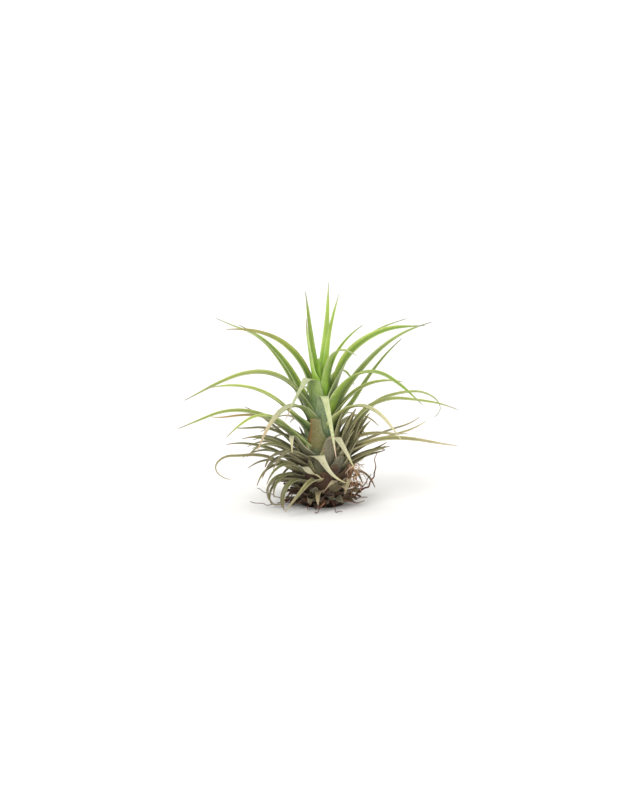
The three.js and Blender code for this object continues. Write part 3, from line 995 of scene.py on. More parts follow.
LOWER_LEAVES = (
    Leaf(21, 53, (40, 65, 25, -5, -10, -25), (2,), 4.2, Finish.OLD_ARCH, roll=22),
    Leaf(21, 55, (18, 62, 46, 15, 0, -40, -155), (14,), 4, Finish.OLD_ARCH, roll=15),
    Leaf(18, 29, (65, 35, 10, -5, 10), (352,), 3.6, Finish.TAN, roll=25),
    Leaf(16, 47, (45, 25, 2, -8, -2), (346,), 4.2, Finish.TAN, roll=30),
    Leaf(16, 36, (40, 20, 15, 15, 35), (12,), 2.8, Finish.TAN, roll=20),
    Leaf(18, 35.5, (30, 15, 18, 12, 36), (26, 14), 2.3, Finish.TAN, roll=20),
    Leaf(12, 19, (40, 30, 35, 30, -20), (356,), 3.4, Finish.OLIVE, roll=25),
    Leaf(13, 20, (30, 25, 30, 25, 35), (8,), 3.4, Finish.OLIVE, roll=20),
    Leaf(18, 19.5, (38, 54, 64, 60, 50), (22,), 6, Finish.BUNCHED, roll=32),
    Leaf(18.5, 18.5, (38, 54, 64, 60, 48), (38,), 6, Finish.BUNCHED, roll=32),
    Leaf(17, 20.5, (36, 52, 64, 60, 48), (4,), 6, Finish.BUNCHED, roll=28),
    Leaf(22, 53, (40, 35, 10, -20, -20), (192,), 4.6, Finish.ARCH, roll=-22),
    Leaf(20, 42, (50, 50, 20, -25, -40), (208, 214), 4.2, Finish.ARCH, roll=-15),
    Leaf(20, 40, (45, 40, 30, 0, -10, 5), (172,), 3.4, Finish.OCHRE, roll=-20),
    Leaf(17, 31, (35, 40, 35, 30, 15), (155,), 3, Finish.OLIVE),
    Leaf(18, 30, (55, 40, 20, -5, 5), (182,), 3.2, Finish.OLIVE, roll=-20),
    Leaf(14, 27, (50, 45, 25, 10, -20), (186,), 3.6, Finish.OLIVE, roll=-25),
    Leaf(12.6, 31, (35, 36, 17, 5, -12), (178,), 3.4, Finish.OLIVE, roll=-25),
    Leaf(11, 44, (30, 30, 30, 10, -5, 0, -45, -135, -185), (190, 174), 2.7, Finish.TAN, roll=-30),
    Leaf(13, 24, (50, 40, 20, -15, -70), (215, 224), 4.4, Finish.GREY),
    Leaf(11, 25, (45, 40, 15, -35, -65), (212, 226), 3.6, Finish.GREY),
    Leaf(18, 22, (50, 52, 50, 10, -58, -60), (218, 218, 218, 260, 276, 276), 4, Finish.PALE),
    Leaf(13, 23.5, (80, 80, -48, -46, -26, -8), (256, 258, 316, 324, 332, 336), 8, Finish.PALE, waist=0.85),
    Leaf(17, 25, (70, 74, 64, -40, -46, -48, -48), (298, 298, 300, 312, 312, 312), 5.8, Finish.PALE),
    Leaf(9.2, 24.5, (40, 6, -36, -45, -45), (264, 236, 212, 208), 4.6, Finish.TAN),
    Leaf(19.6, 34, (77,), (253,), 6.6, Finish.STUB, 0.4, LeafEnd.BROKEN, sheath=6),
    Leaf(14, 34, (74,), (290,), 7.2, Finish.OLD_SHEATH, 0.4, LeafEnd.ROUNDED),
    Leaf(10.8, 24, (66,), (312,), 7, Finish.OLD_SHEATH, 0.4, LeafEnd.ROUNDED),
)

WITHERED_LEAVES = (
    Leaf(8.2, 28, (38, 10, -15, -90, -140, -175), (204, 192), 4.4, Finish.GREY),
    Leaf(7, 15, (35, 15, 5, -30, -72), (192,), 2.8, Finish.WITHERED, wave=0.3),
    Leaf(
        9.5, 21.5, (54, 54, 24, -22, -8, -44), (230, 238, 292, 322, 326),
        5.6, Finish.PALE, wave=0.5, waist=0.8,
    ),
    Leaf(6.5, 15.5, (52, 50, 0, -38, -46), (296, 296, 250, 212, 212), 3.2, Finish.WITHERED, wave=0.25),
    Leaf(7, 17, (46, 40, 0, -46, -52), (320, 318, 270, 248, 248), 3.4, Finish.WITHERED, wave=0.25),
    Leaf(6.5, 10.5, (10, -25, -50), (262, 276), 3, Finish.WITHERED, wave=0.3),
)


@dataclass(frozen=True)
class OldBases:
    """The old leaf bases that make the scaly bulb."""

    count: int = 12
    roots: tuple[float, float] = (5.5, 8.7)
    length: float = 30
    cut: float = 0.3
    rise: float = 66
    width: float = 6.4

    def leaves(self) -> list[Leaf]:
        """Grows the bases.

        Returns:
            The bases, as leaves that are cut off short.
        """
        bases = []
        for i in range(self.count):
            root = between(*self.roots, i / self.count)
            rises, headings = (self.rise,), (i * GOLDEN_ANGLE,)
            bases.append(
                Leaf(
                    root, self.length, rises, headings, self.width, Finish.SCALE, self.cut,
                    LeafEnd.ROUNDED, wave=0.3,
                )
            )
        return bases


@dataclass(frozen=True)
class CrownScraps:
    """The curled dry scraps that hide the root crown."""

    count: int = 44
    seed: int = 41
    roots: tuple[float, float] = (1.0, 6.4)
    lengths: tuple[float, float] = (4.4, 6.2)
    longer_higher: float = 0.45
    rises: tuple[float, float] = (-4.0, 24.0)
    steeper_higher: float = 5.0
    swing: float = 50.0
    end_rises: tuple[float, float] = (-75.0, 30.0)
    widths: tuple[float, float] = (2.0, 5.0)
    finishes: tuple[Finish, ...] = (
        Finish.SCALE, Finish.SCALE, Finish.OLD_SHEATH, Finish.SCALE, Finish.SCALE, Finish.WITHERED,
    )

    def leaves(self) -> list[Leaf]:
        """Grows the scraps.

        Returns:
            The scraps, as short leaves.
        """
        scraps = []
        for i in range(self.count):
            around = (i + 0.5) * GOLDEN_ANGLE
            root = between(*self.roots, (i + 0.5) / self.count)
            length = between(*self.lengths, draw(i, self.seed)) + self.longer_higher * root
            rise = between(*self.rises, draw(i, self.seed + 1)) + self.steeper_higher * root
            turn = self.swing * (draw(i, self.seed + 2) - 0.5)
            end = between(*self.end_rises, draw(i, self.seed + 3))
            rises, headings = (rise, rise - 12.0, rise - 35.0, end), (around, around + turn)
            width = between(*self.widths, draw(i, self.seed + 4))
            finish = self.finishes[i % len(self.finishes)]
            scraps.append(
                Leaf(root, length, rises, headings, width, finish, wave=0.7, sheath=1.8, lowest=0.7)
            )
        return scraps


@dataclass(frozen=True)
class Bunch:
    """A close bunch of narrow old leaves.

    Each pair holds the least and greatest value, and `headings` the azimuths of the first and last leaf.
    `rises` are those of the middle leaf, and each other one strays from them a little.
    """

    count: int
    roots: tuple[float, float]
    headings: tuple[float, float]
    lengths: tuple[float, float]
    rises: tuple[float, ...]
    width: float
    roll: float
    seed: int
    finishes: tuple[Finish, ...] = (Finish.OLIVE, Finish.GREY)
    rise_spread: float = 14.0
    heading_spread: float = 8.0
    swing: float = 18.0

    def leaves(self) -> list[Leaf]:
        """Grows the leaves, which take the finishes in turn.

        Returns:
            The leaves.
        """
        leaves = []
        for i in range(self.count):
            stray = self.rise_spread * (draw(i, self.seed) - 0.5)
            root = between(*self.roots, draw(i, self.seed + 1))
            aside = self.heading_spread * (draw(i, self.seed + 2) - 0.5)
            heading = between(*self.headings, (i + 0.5) / self.count) + aside
            turn = self.swing * (draw(i, self.seed + 3) - 0.5)
            length = between(*self.lengths, draw(i, self.seed + 4))
            own = tuple(rise + stray * (0.4 + 0.3 * k) for k, rise in enumerate(self.rises))
            finish = self.finishes[i % len(self.finishes)]
            headings = (heading, heading + turn)
            leaves.append(Leaf(root, length, own, headings, self.width, finish, roll=self.roll))
        return leaves


@dataclass(frozen=True)
class Sheaths:
    """Broad short sheaths that hide the stem between the longer leaves."""

    count: int
    roots: tuple[float, float]
    finish: Finish
    seed: int
    first: float = 30.0
    lengths: tuple[float, float] = (8.5, 11.0)
    rises: tuple[float, ...] = (72, 78, 60)
    width: float = 5.6
    foot: float = 3.0

    def leaves(self) -> list[Leaf]:
        """Grows the sheaths, from the highest down.

        Returns:
            The sheaths.
        """
        sheaths = []
        for i in range(self.count):
            around = self.first + i * GOLDEN_ANGLE
            root = between(self.roots[1], self.roots[0], (i + 0.5) / self.count)
            length = between(*self.lengths, draw(i, self.seed))
            sheaths.append(
                Leaf(root, length, self.rises, (around,), self.width, self.finish, sheath=self.foot)
            )
        return sheaths


@dataclass
class LeafTier:
    """One band of leaves, joined into one piece."""

    name: str
    leaves: Sequence[Leaf]
    slot: str
    seed: int
    replaced: tuple[str, ...] = ()

    def finishes(self) -> list[Finish]:
        """Returns the finishes of the tier's leaves, each once, in the order of their slots."""
        return list(dict.fromkeys(leaf.finish for leaf in self.leaves))

    def build(self, materials: dict[Finish, bpy.types.Material]) -> bpy.types.Object:
        """Makes the piece.

        Args:
            materials: The material of each finish.

        Returns:
            The piece.
        """
        finishes = self.finishes()
        mesh = bmesh.new()
        mesh.loops.layers.uv.new(LEAF_MAP)
        mesh.verts.layers.float.new(SHADE)
        for index, leaf in enumerate(self.leaves):
            Blade(leaf, self.seed + index).build(mesh, finishes.index(leaf.finish))
        return piece(self.name, mesh, [materials[f] for f in finishes], self.replaced)


def piece(
    name: str, mesh: bmesh.types.BMesh, materials: Iterable[bpy.types.Material],
    replaced: Iterable[str] = (),
) -> bpy.types.Object:
    """Turns a mesh into a piece that rides on the plant.

    Args:
        name: The piece's name.
        mesh: Its mesh, which is freed.
        materials: Its materials.
        replaced: The solids that it stands for.

    Returns:
        The piece.
    """
    bmesh.ops.recalc_face_normals(mesh, faces=mesh.faces)
    data = bpy.data.meshes.new(name)
    mesh.to_mesh(data)
    mesh.free()
    for material in materials:
        data.materials.append(material)
    made = bpy.data.objects.new(name, data)
    bpy.context.scene.collection.objects.link(made)
    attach(made, "root")
    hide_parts(*replaced)
    faces = sum(len(polygon.vertices) - 2 for polygon in data.polygons)
    LOG.info("%s: %d triangles", name, faces)
    return made


# ---- Stem and roots ----

# How near to the axis a corner counts as lying on it, in millimetres.
AXIS_REACH = 0.01


@dataclass
class Stem:
    """The short stem that the leaves clasp."""

    name: str = "stem"
    foot: float = 3.0
    height: float = 43.0
    levels: int = 22
    shrink: float = 1.3
    least_radius: float = 0.3
    steps: int = 40
    lump_scale: float = 0.45
    lump: float = 0.5

    def build(self, material: bpy.types.Material) -> bpy.types.Object:
        """Makes the stem.

        Args:
            material: Its material.

        Returns:
            The piece.
        """
        mesh = bmesh.new()
        mesh.verts.layers.float.new(SHADE)
        heights = [self.foot + self.height * i / self.levels for i in range(self.levels + 1)]
        outline = [Vector((0.0, 0.0, heights[0]))]
        outline += [Vector((max(stem_radius(h) - self.shrink, self.least_radius), 0.0, h)) for h in heights]
        outline.append(Vector((0.0, 0.0, heights[-1])))
        turned(mesh, outline, self.steps)
        for vert in mesh.verts:
            lump = noise.noise(vert.co * self.lump_scale) * self.lump
            flat = Vector((vert.co.x, vert.co.y, 0.0))
            vert.co += flat.normalized() * lump if flat.length > AXIS_REACH else flat
            vert.co *= MM
        return piece(self.name, mesh, [material])


def turned(mesh: bmesh.types.BMesh, outline: Sequence[Vector], steps: int) -> None:
    """Spins an outline round the stem's axis.

    Args:
        mesh: The mesh that it is added to.
        outline: The points of the outline, from the axis out and back to it.
        steps: How many faces go round.
    """
    verts = [mesh.verts.new(point) for point in outline]
    edges = [mesh.edges.new(pair) for pair in zip(verts, verts[1:])]
    bmesh.ops.spin(
        mesh, geom=verts + edges, cent=(0, 0, 0), axis=(0, 0, 1), angle=math.tau, steps=steps,
        use_merge=True,
    )
    bmesh.ops.remove_doubles(mesh, verts=mesh.verts, dist=MERGE_REACH / MM)
    for face in mesh.faces:
        face.smooth = True


@dataclass
class RootCrown:
    """The dark woody crown that the plant stands on. Its underside stays flat."""

    name: str = "root_crown"
    shrink: float = 3.4
    steps: int = 72
    foot_radii: tuple[float, ...] = (0.0, 2.4, 4.2)
    heights: tuple[float, ...] = (0.0, 0.25, 0.8, 1.6, 2.4, 3.2, 4.0, 5.0, 6.0, 7.2, 8.4, 9.6)
    smooth_radius: float = 4.4
    foot_height: float = 0.1

    def build(self, material: bpy.types.Material) -> bpy.types.Object:
        """Makes the crown.

        Args:
            material: Its material.

        Returns:
            The piece.
        """
        mesh = bmesh.new()
        mesh.verts.layers.float.new(SHADE)
        outline = [Vector((radius, 0.0, 0.0)) for radius in self.foot_radii]
        outline += [Vector((stem_radius(h) - self.shrink, 0.0, h)) for h in self.heights]
        outline.append(Vector((0.0, 0.0, self.heights[-1])))
        turned(mesh, outline, self.steps)
        for vert in mesh.verts:
            self.roughen(vert)
            vert.co *= MM
        return piece(self.name, mesh, [material], ("roots",))

    def roughen(self, vert: bmesh.types.BMVert) -> None:
        """Lumps a corner of the side out or in, and up or down where it is clear of the foot.

        Args:
            vert: The corner, still in millimetres.
        """
        flat = Vector((vert.co.x, vert.co.y, 0.0))
        if flat.length <= self.smooth_radius:
            return
        lump = noise.noise(vert.co * 0.5) * 0.9 + noise.noise(vert.co * 1.6) * 0.4
        vert.co += flat.normalized() * lump
        if vert.co.z > self.foot_height:
            lift = noise.noise(vert.co * 0.7 + Vector((9, 2, 4))) * 0.5
            vert.co.z = max(self.foot_height, vert.co.z + lift)


@dataclass(frozen=True)
class Wire:
    """A root or fibre, as its points in millimetres and its radius at the start and the end."""

    points: tuple[Vector, ...]
    radius: float
    end_radius: float

    def build(self, mesh: bmesh.types.BMesh, sides: int, shade: float) -> None:
        """Wraps a grid round the wire's line.

        Args:
            mesh: The mesh that it is added to.
            sides: How many faces go round.
            shade: The wire's own tone, from 0 to 1.
        """
        rows = len(self.points) - 1
        grid = bmesh.ops.create_grid(mesh, x_segments=rows, y_segments=sides, size=1.0)
        layer = mesh.verts.layers.float[SHADE]
        frames = self.frames()
        for face in {face for vert in grid["verts"] for face in vert.link_faces}:
            face.smooth = True
        for vert in grid["verts"]:
            row = round((vert.co.x + 1.0) / 2.0 * rows)
            angle = (vert.co.y + 1.0) / 2.0 * math.tau
            place, across, over = frames[row]
            closed = 0.0 if row in (0, rows) else 1.0
            radius = between(self.radius, self.end_radius, row / rows) * closed
            vert.co = (place + (across * math.cos(angle) + over * math.sin(angle)) * radius) * MM
            vert[layer] = shade
        bmesh.ops.remove_doubles(mesh, verts=grid["verts"], dist=MERGE_REACH)

    def frames(self) -> list[tuple[Vector, Vector, Vector]]:
        """Carries two axes across the line along it, without a twist.

        Returns:
            Each point with its two axes.
        """
        rows = len(self.points) - 1
        pairs = [(self.points[max(i - 1, 0)], self.points[min(i + 1, rows)]) for i in range(rows + 1)]
        ahead = [(after - before).normalized() for before, after in pairs]
        across = ahead[0].orthogonal().normalized()
        frames = []
        for point, forward in zip(self.points, ahead):
            across = (across - forward * across.dot(forward)).normalized()
            frames.append((point, across, forward.cross(across)))
        return frames


# The noise that a root strays by: its scale, how far it moves on from root to root, in how many steps
# it sets in, and how far a root keeps clear of the ground, in millimetres.
STRAY_SCALE = 0.35
STRAY_SHIFT = 3.7
STRAY_STEPS = 4
WIRE_GAP = 0.05


def wire_of(leaf: Leaf, steps: int, radius: float, end_radius: float, kink: float, seed: int) -> Wire:
    """Turns a leaf-like line into a wiry root.

    Args:
        leaf: The line.
        steps: How many lengths it has.
        radius: Its radius at the crown.
        end_radius: Its radius at the end.
        kink: How far it strays from its line.
        seed: The seed of the strays.

    Returns:
        The root.
    """
    line = LeafLine(leaf)
    points = []
    for i in range(steps + 1):
        station = line.at(i / steps)
        spot = station.place * STRAY_SCALE + Vector((seed * STRAY_SHIFT, 0.0, 0.0))
        place = station.place + noise.noise_vector(spot) * kink * min(1.0, i / STRAY_STEPS)
        place.z = max(place.z, radius + WIRE_GAP)
        points.append(place)
    return Wire(tuple(points), radius, end_radius)


@dataclass
class RootWires:
    """Wiry roots that come out of the crown.

    `shorter` counts the roots of the fringe, and `radius` is that of a line whose width is 1. The strays
    have a seed of their own, because without one the noise takes it from the clock.
    """

    name: str = "root_wires"
    shorter: int = 10
    fringe_seed: int = 11
    stray_seed: int = 9
    steps: int = 30
    sides: int = 8
    radius: float = 0.38
    end_radius: float = 0.12
    kink: float = 0.9
    lowest: float = 0.6
    roots: tuple[float, float] = (1.6, 3.4)
    lengths: tuple[float, float] = (5.0, 14.0)
    droops: tuple[float, float] = (-24.0, 6.0)
    swing: float = 120.0
    width: float = 0.9

    def long_roots(self) -> list[Leaf]:
        """Returns the lines of the roots that stand out."""
        lines = (
            (2.4, 25, (10, 26, 42, 76, 94, 74), (347, 353), 1.2),
            (2.6, 14, (15, 40, 70), (2,), 0.8),
            (2, 20, (0, -8, 5, 20), (206, 188), 0.5),
            (2, 18, (-4, 8, 22, 34, 10), (198, 186), 0.4),
            (4.5, 13, (40, 0, -60, -110, -150, -60), (206, 216), 0.45),
            (3, 12, (20, -20, -50, -10, 40), (268, 248), 0.45),
            (3, 13, (28, -10, -40, -16, 30), (286, 306), 0.45),
        )
        return [Leaf(*line, Finish.ROOT, lowest=self.lowest) for line in lines]

    def fringe(self) -> list[Leaf]:
        """Grows the lines of the shorter roots.

        Returns:
            The lines.
        """
        seed = self.fringe_seed
        lines = []
        for i in range(self.shorter):
            around = i * GOLDEN_ANGLE
            turn = self.swing * (draw(i, seed) - 0.5)
            droop = between(*self.droops, draw(i, seed + 1))
            root = between(*self.roots, draw(i, seed + 2))
            length = between(*self.lengths, draw(i, seed + 3))
            rises, headings = (10.0, droop, -4.0, 12.0 * draw(i, seed + 4)), (around, around + turn)
            lines.append(Leaf(root, length, rises, headings, self.width, Finish.ROOT, lowest=self.lowest))
        return lines

    def build(self, material: bpy.types.Material) -> bpy.types.Object:
        """Makes the roots.

        Args:
            material: Their material.

        Returns:
            The piece.
        """
        noise.seed_set(self.stray_seed)
        mesh = bmesh.new()
        mesh.verts.layers.float.new(SHADE)
        for i, line in enumerate(self.long_roots() + self.fringe()):
            wire = wire_of(line, self.steps, self.radius * line.width, self.end_radius, self.kink, i)
            wire.build(mesh, self.sides, draw(i, 6.1))
        return piece(self.name, mesh, [material])


@dataclass
class RootMat:
    """Matted fibres that lie on the crown. Lengths are in millimetres, and slopes in degrees."""

    name: str = "root_mat"
    count: int = 170
    steps: int = 9
    sides: int = 5
    radius: float = 0.17
    end_radius: float = 0.08
    heights: tuple[float, float] = (0.6, 8.5)
    lengths: tuple[float, float] = (5.0, 15.0)
    slopes: tuple[float, float] = (-45.0, 50.0)
    height_limits: tuple[float, float] = (0.3, 10.5)
    least_height: float = 0.25
    inset: float = 2.0
    bulge: float = 1.2
    unevenness: float = 0.7
    wander: float = 0.7

    def fibre(self, counter: int) -> Wire:
        """Lays a fibre on the crown.

        Args:
            counter: Its number.

        Returns:
            The fibre.
        """
        azimuth = math.radians(counter * GOLDEN_ANGLE)
        height = between(*self.heights, draw(counter, 1.3))
        length = between(*self.lengths, draw(counter, 2.7))
        slope = math.radians(between(*self.slopes, draw(counter, 3.9)))
        way = 1.0 if draw(counter, 4.1) > 0.5 else -1.0
        steps = self.steps
        points = []
        for i in range(steps + 1):
            radius = stem_radius(height) - self.inset + self.bulge * math.sin(i / steps * math.pi)
            radius += self.unevenness * (draw(counter * 13 + i, 5.5) - 0.5)
            x, y = radius * math.cos(azimuth), radius * math.sin(azimuth)
            points.append(Vector((x, y, max(height, self.least_height))))
            azimuth += way * math.cos(slope) * length / steps / radius
            height = clamp(height + math.sin(slope) * length / steps, *self.height_limits)
            slope += self.wander * (draw(counter * 17 + i, 7.7) - 0.5)
        return Wire(tuple(points), self.radius, self.end_radius)

    def build(self, material: bpy.types.Material) -> bpy.types.Object:
        """Makes the mat.

        Args:
            material: Its material.

        Returns:
            The piece.
        """
        mesh = bmesh.new()
        mesh.verts.layers.float.new(SHADE)
        for i in range(self.count):
            self.fibre(i).build(mesh, self.sides, draw(i, 6.6))
        return piece(self.name, mesh, [material])


@dataclass
class RootTuft:
    """The tuft of pale crinkled fibres on the right.

    `across`, `forward` and `heights` are the ends of the box that they start in, in millimetres. The
    crinkles and the sag are in radians for each step.
    """

    name: str = "root_tuft"
    count: int = 46
    steps: int = 10
    sides: int = 5
    radius: float = 0.15
    end_radius: float = 0.07
    across: tuple[float, float] = (8.5, 12.0)
    forward: tuple[float, float] = (-6.5, 0.0)
    heights: tuple[float, float] = (9.0, 16.0)
    rises: tuple[float, float] = (-75.0, 30.0)
    headings: tuple[float, float] = (-70.0, 35.0)
    lengths: tuple[float, float] = (4.0, 9.0)
    rise_crinkle: float = 1.3
    heading_crinkle: float = 1.5
    sag: float = 0.06

    def fibre(self, counter: int) -> Wire:
        """Crinkles a fibre.

        Args:
            counter: Its number.

        Returns:
            The fibre.
        """
        place = Vector((
            between(*self.across, draw(counter, 8.1)),
            between(*self.forward, draw(counter, 8.2)),
            between(*self.heights, draw(counter, 8.3)),
        ))
        rise = math.radians(between(*self.rises, draw(counter, 8.4)))
        heading = math.radians(between(*self.headings, draw(counter, 8.5)))
        length = between(*self.lengths, draw(counter, 8.6))
        points = []
        for i in range(self.steps + 1):
            points.append(place.copy())
            level = math.cos(rise)
            ahead = Vector((level * math.cos(heading), level * math.sin(heading), math.sin(rise)))
            place = place + ahead * (length / self.steps)
            rise += self.rise_crinkle * (draw(counter * 19 + i, 9.1) - 0.5) - self.sag
            heading += self.heading_crinkle * (draw(counter * 23 + i, 9.2) - 0.5)
        return Wire(tuple(points), self.radius, self.end_radius)

    def build(self, material: bpy.types.Material) -> bpy.types.Object:
        """Makes the tuft.

        Args:
            material: Its material.

        Returns:
            The piece.
        """
        mesh = bmesh.new()
        mesh.verts.layers.float.new(SHADE)
        for i in range(self.count):
            self.fibre(i).build(mesh, self.sides, draw(i, 6.9))
        return piece(self.name, mesh, [material])


# ---- Studio ----


@dataclass(frozen=True)
class Softbox:
    """A round soft light. Places and size are in metres, and the power in watts."""

    name: str
    place: tuple[float, float, float]
    size: float
    power: float
    aim: tuple[float, float, float] | None = None

    def hang(self, plant: tuple[float, float, float]) -> None:
        """Hangs the light, so that it faces its aim, or the plant where it has none.

        Args:
            plant: The middle of the plant.
        """
        light = bpy.data.lights.new(self.name, "AREA")
        light.shape = "DISK"
        light.size = self.size
        light.energy = self.power
        made = bpy.data.objects.new(self.name, light)
        made.location = self.place
        way = Vector(self.aim or plant) - Vector(self.place)
        made.rotation_euler = way.to_track_quat("-Z", "Y").to_euler()
        bpy.context.scene.collection.objects.link(made)


SOFTBOXES = (
    Softbox("key", (-0.7, -1.3, 1.3), 1.2, 22.0),
    Softbox("top", (0.1, 0.2, 1.8), 1.4, 8.0),
    Softbox("fill", (1.1, -1.3, 0.7), 1.2, 8.0),
    Softbox("backdrop", (0.0, 0.7, 1.3), 1.0, 8.0, (0.0, 1.7, 0.2)),
)


@dataclass
class Studio:
    """A pale floor that sweeps up behind the plant, soft lights and the camera.

    The elevation is in degrees, the lens in millimetres and every other length in metres.
    """

    target: tuple[float, float, float] = (-0.0007, 0.0, 0.0382)
    distance: float = 0.8
    elevation: float = 10.0
    lens: float = 100.0
    clip_start: float = 0.01
    floor_half: float = 2.0
    wall_height: float = 2.0
    sweep: float = 1.2
    sweep_steps: int = 16
    room_light: float = 0.56
    floor_colours: tuple[str, str] = ("#efeeec", "#f3f2f0")

    def extended(
        self, mesh: bmesh.types.BMesh, edges: list[bmesh.types.BMEdge], way: tuple[float, float, float],
    ) -> list[bmesh.types.BMEdge]:
        """Extrudes edges of the floor.

        Args:
            mesh: The floor's mesh.
            edges: The edges.
            way: How far they go, in metres.

        Returns:
            The edges at the end of the new faces.
        """
        grown = bmesh.ops.extrude_edge_only(mesh, edges=edges)["geom"]
        verts = [item for item in grown if isinstance(item, bmesh.types.BMVert)]
        bmesh.ops.translate(mesh, verts=verts, vec=way)
        lines = [item for item in grown if isinstance(item, bmesh.types.BMEdge)]
        return [line for line in lines if all(vert in verts for vert in line.verts)]

    def floor_mesh(self) -> bpy.types.Mesh:
        """Extrudes the floor's front edge back and up, and rounds the bend.

        Returns:
            The mesh.
        """
        mesh = bmesh.new()
        ends = [mesh.verts.new((side * self.floor_half, -self.floor_half, 0.0)) for side in (-1.0, 1.0)]
        bend = self.extended(mesh, [mesh.edges.new(ends)], (0.0, 2.0 * self.floor_half, 0.0))
        self.extended(mesh, bend, (0.0, 0.0, self.wall_height))
        bmesh.ops.bevel(
            mesh, geom=bend, offset=self.sweep, offset_type="OFFSET", segments=self.sweep_steps,
            profile=0.5, affect="EDGES", material=-1,
        )
        for face in mesh.faces:
            face.smooth = True
        data = bpy.data.meshes.new("floor")
        mesh.to_mesh(data)
        mesh.free()
        return data

    def floor(self) -> bpy.types.Object:
        """Makes the floor, with a rounded sweep at its back.

        Returns:
            The floor.
        """
        data = self.floor_mesh()
        made = bpy.data.objects.new("floor", data)
        bpy.context.scene.collection.objects.link(made)
        n = Nodes("pale_floor")
        spot = n.add("ShaderNodeTexCoord").outputs["Object"]
        mottle = n.ramp(n.noise(spot, 40.0), 0.3, 0.7)
        colour = n.mix(mottle, *(linear(tone) for tone in self.floor_colours))
        data.materials.append(n.finish({"Base Color": colour, "Roughness": 0.9, "Specular IOR Level": 0.1}))
        return made

    def world(self) -> None:
        """Fills the room with plain pale light."""
        world = bpy.data.worlds.new("room")
        world.use_nodes = True
        background = world.node_tree.nodes["Background"]
        background.inputs["Color"].default_value = (1.0, 1.0, 1.0, 1.0)
        background.inputs["Strength"].default_value = self.room_light
        bpy.context.scene.world = world

    def camera(self) -> None:
        """Puts the camera in front of the plant, a little above it."""
        data = bpy.data.cameras.new("camera")
        data.lens = self.lens
        data.clip_start = self.clip_start
        made = bpy.data.objects.new("camera", data)
        lift = math.radians(self.elevation)
        back = Vector((0.0, -math.cos(lift), math.sin(lift)))
        made.location = Vector(self.target) + back * self.distance
        made.rotation_euler = (-back).to_track_quat("-Z", "Y").to_euler()
        bpy.context.scene.collection.objects.link(made)
        bpy.context.scene.camera = made

    def build(self) -> None:
        """Sets up the floor, the lights, the camera and the colours."""
        self.floor()
        self.world()
        for softbox in SOFTBOXES:
            softbox.hang(self.target)
        self.camera()
        view = bpy.context.scene.view_settings
        view.view_transform = "Standard"
        view.look = "None"


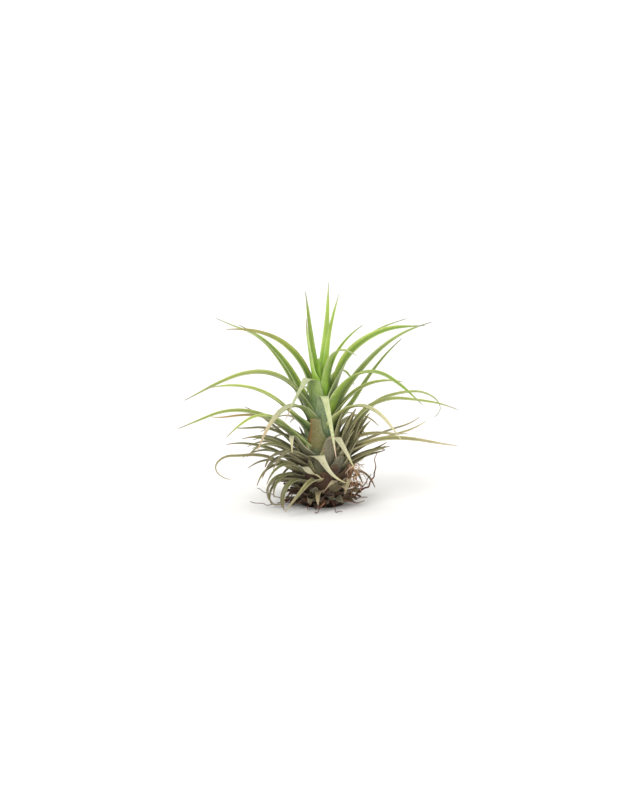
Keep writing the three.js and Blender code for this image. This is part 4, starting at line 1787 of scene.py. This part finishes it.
@dataclass
class AirPlant:
    """The whole plant, from the heart down to the roots."""

    materials: dict[Finish, bpy.types.Material] = field(default_factory=dict)

    def tiers(self) -> list[LeafTier]:
        """Groups the leaves, from the heart down.

        Returns:
            The bands of leaves.
        """
        upper_far = FarSide(6, (27, 33), (74, 112), 36, 72, -50, 3, Finish.LUSH)
        lower_far = FarSide(11, (12, 23), (56, 138), 33, 54, -30, 5, Finish.TAN)
        withered_far = FarSide(6, (6.5, 9.5), (40, 150), 19, 36, -60, 7, Finish.WITHERED)
        heart = (*HEART_LEAVES, *INNER_HEART)
        upper = (*UPPER_LEAVES, *upper_far.leaves())
        lower = (*LOWER_LEAVES, *lower_far.leaves())
        withered = (*WITHERED_LEAVES, *withered_far.leaves())
        scales = (*OldBases().leaves(), *CrownScraps().leaves())
        upper_sheaths = Sheaths(10, (22, 34), Finish.GREEN_SHEATH, 61)
        lower_sheaths = Sheaths(14, (9, 20), Finish.OLIVE, 67)
        return [
            LeafTier("heart_blades", heart, "young_leaf", 0, ("heart_leaves",)),
            LeafTier("upper_blades", upper, "leaf", 20, ("upper_leaves",)),
            LeafTier("lower_blades", lower, "old_leaf", 50, ("lower_leaves",)),
            LeafTier("withered_blades", withered, "withered_leaf", 100, ("withered_leaves",)),
            LeafTier("bulb_scales", scales, "withered_leaf", 130),
            LeafTier("upper_sheaths", upper_sheaths.leaves(), "leaf", 180),
            LeafTier("lower_sheaths", lower_sheaths.leaves(), "old_leaf", 200),
            LeafTier("narrow_leaves", self.narrow_leaves(), "old_leaf", 230),
        ]

    def narrow_leaves(self) -> list[Leaf]:
        """Grows the close bunches of narrow old leaves at the plant's sides.

        Returns:
            The leaves.
        """
        tan = (Finish.BUNCHED,)
        mixed = (Finish.BUNCHED, Finish.OLIVE)
        bunches = (
            Bunch(9, (14, 18.5), (-14, 40), (17, 20), (42, 58, 66, 62, 54), 6.2, 38, 301, tan),
            Bunch(5, (12, 16), (316, 350), (16, 20), (52, 62, 65, 58, 48), 5.2, 25, 451, mixed),
            Bunch(4, (16, 20), (324, 352), (14, 17), (54, 64, 68, 62, 54), 5.8, 25, 481, mixed),
            Bunch(5, (12, 15), (-16, 16), (18, 24), (36, 30, 26, 14, 22), 2.8, 28, 331, mixed),
            Bunch(6, (10, 16), (192, 236), (20, 28), (46, 36, 10, -28, -64), 2.9, -20, 361),
            Bunch(5, (7.5, 10), (192, 240), (18, 24), (38, 20, -20, -66, -112), 2.6, -20, 391),
            Bunch(6, (11, 16), (146, 182), (20, 28), (44, 34, 14, -10, -30), 3, -15, 421),
        )
        return [
            Leaf(20, 17, (70, 76, 74, 62), (318,), 5.6, Finish.OLIVE, roll=15),
            Leaf(19, 19, (60, 68, 68, 58), (334,), 5.6, Finish.TAN, roll=25),
            *(leaf for bunch in bunches for leaf in bunch.leaves()),
        ]

    def build(self) -> None:
        """Makes every piece."""
        self.materials = {finish: finish.value.material() for finish in Finish}
        for tier in self.tiers():
            tier.build(self.materials)
        Stem().build(self.materials[Finish.STEM])
        RootCrown().build(self.materials[Finish.CROWN])
        RootWires().build(self.materials[Finish.ROOT])
        RootMat().build(self.materials[Finish.MAT])
        RootTuft().build(self.materials[Finish.FIBRE])


def main() -> None:
    """Builds the studio and the plant."""
    logging.basicConfig(level=logging.INFO, format="%(message)s")
    Studio().build()
    AirPlant().build()


if __name__ == "__main__":
    main()
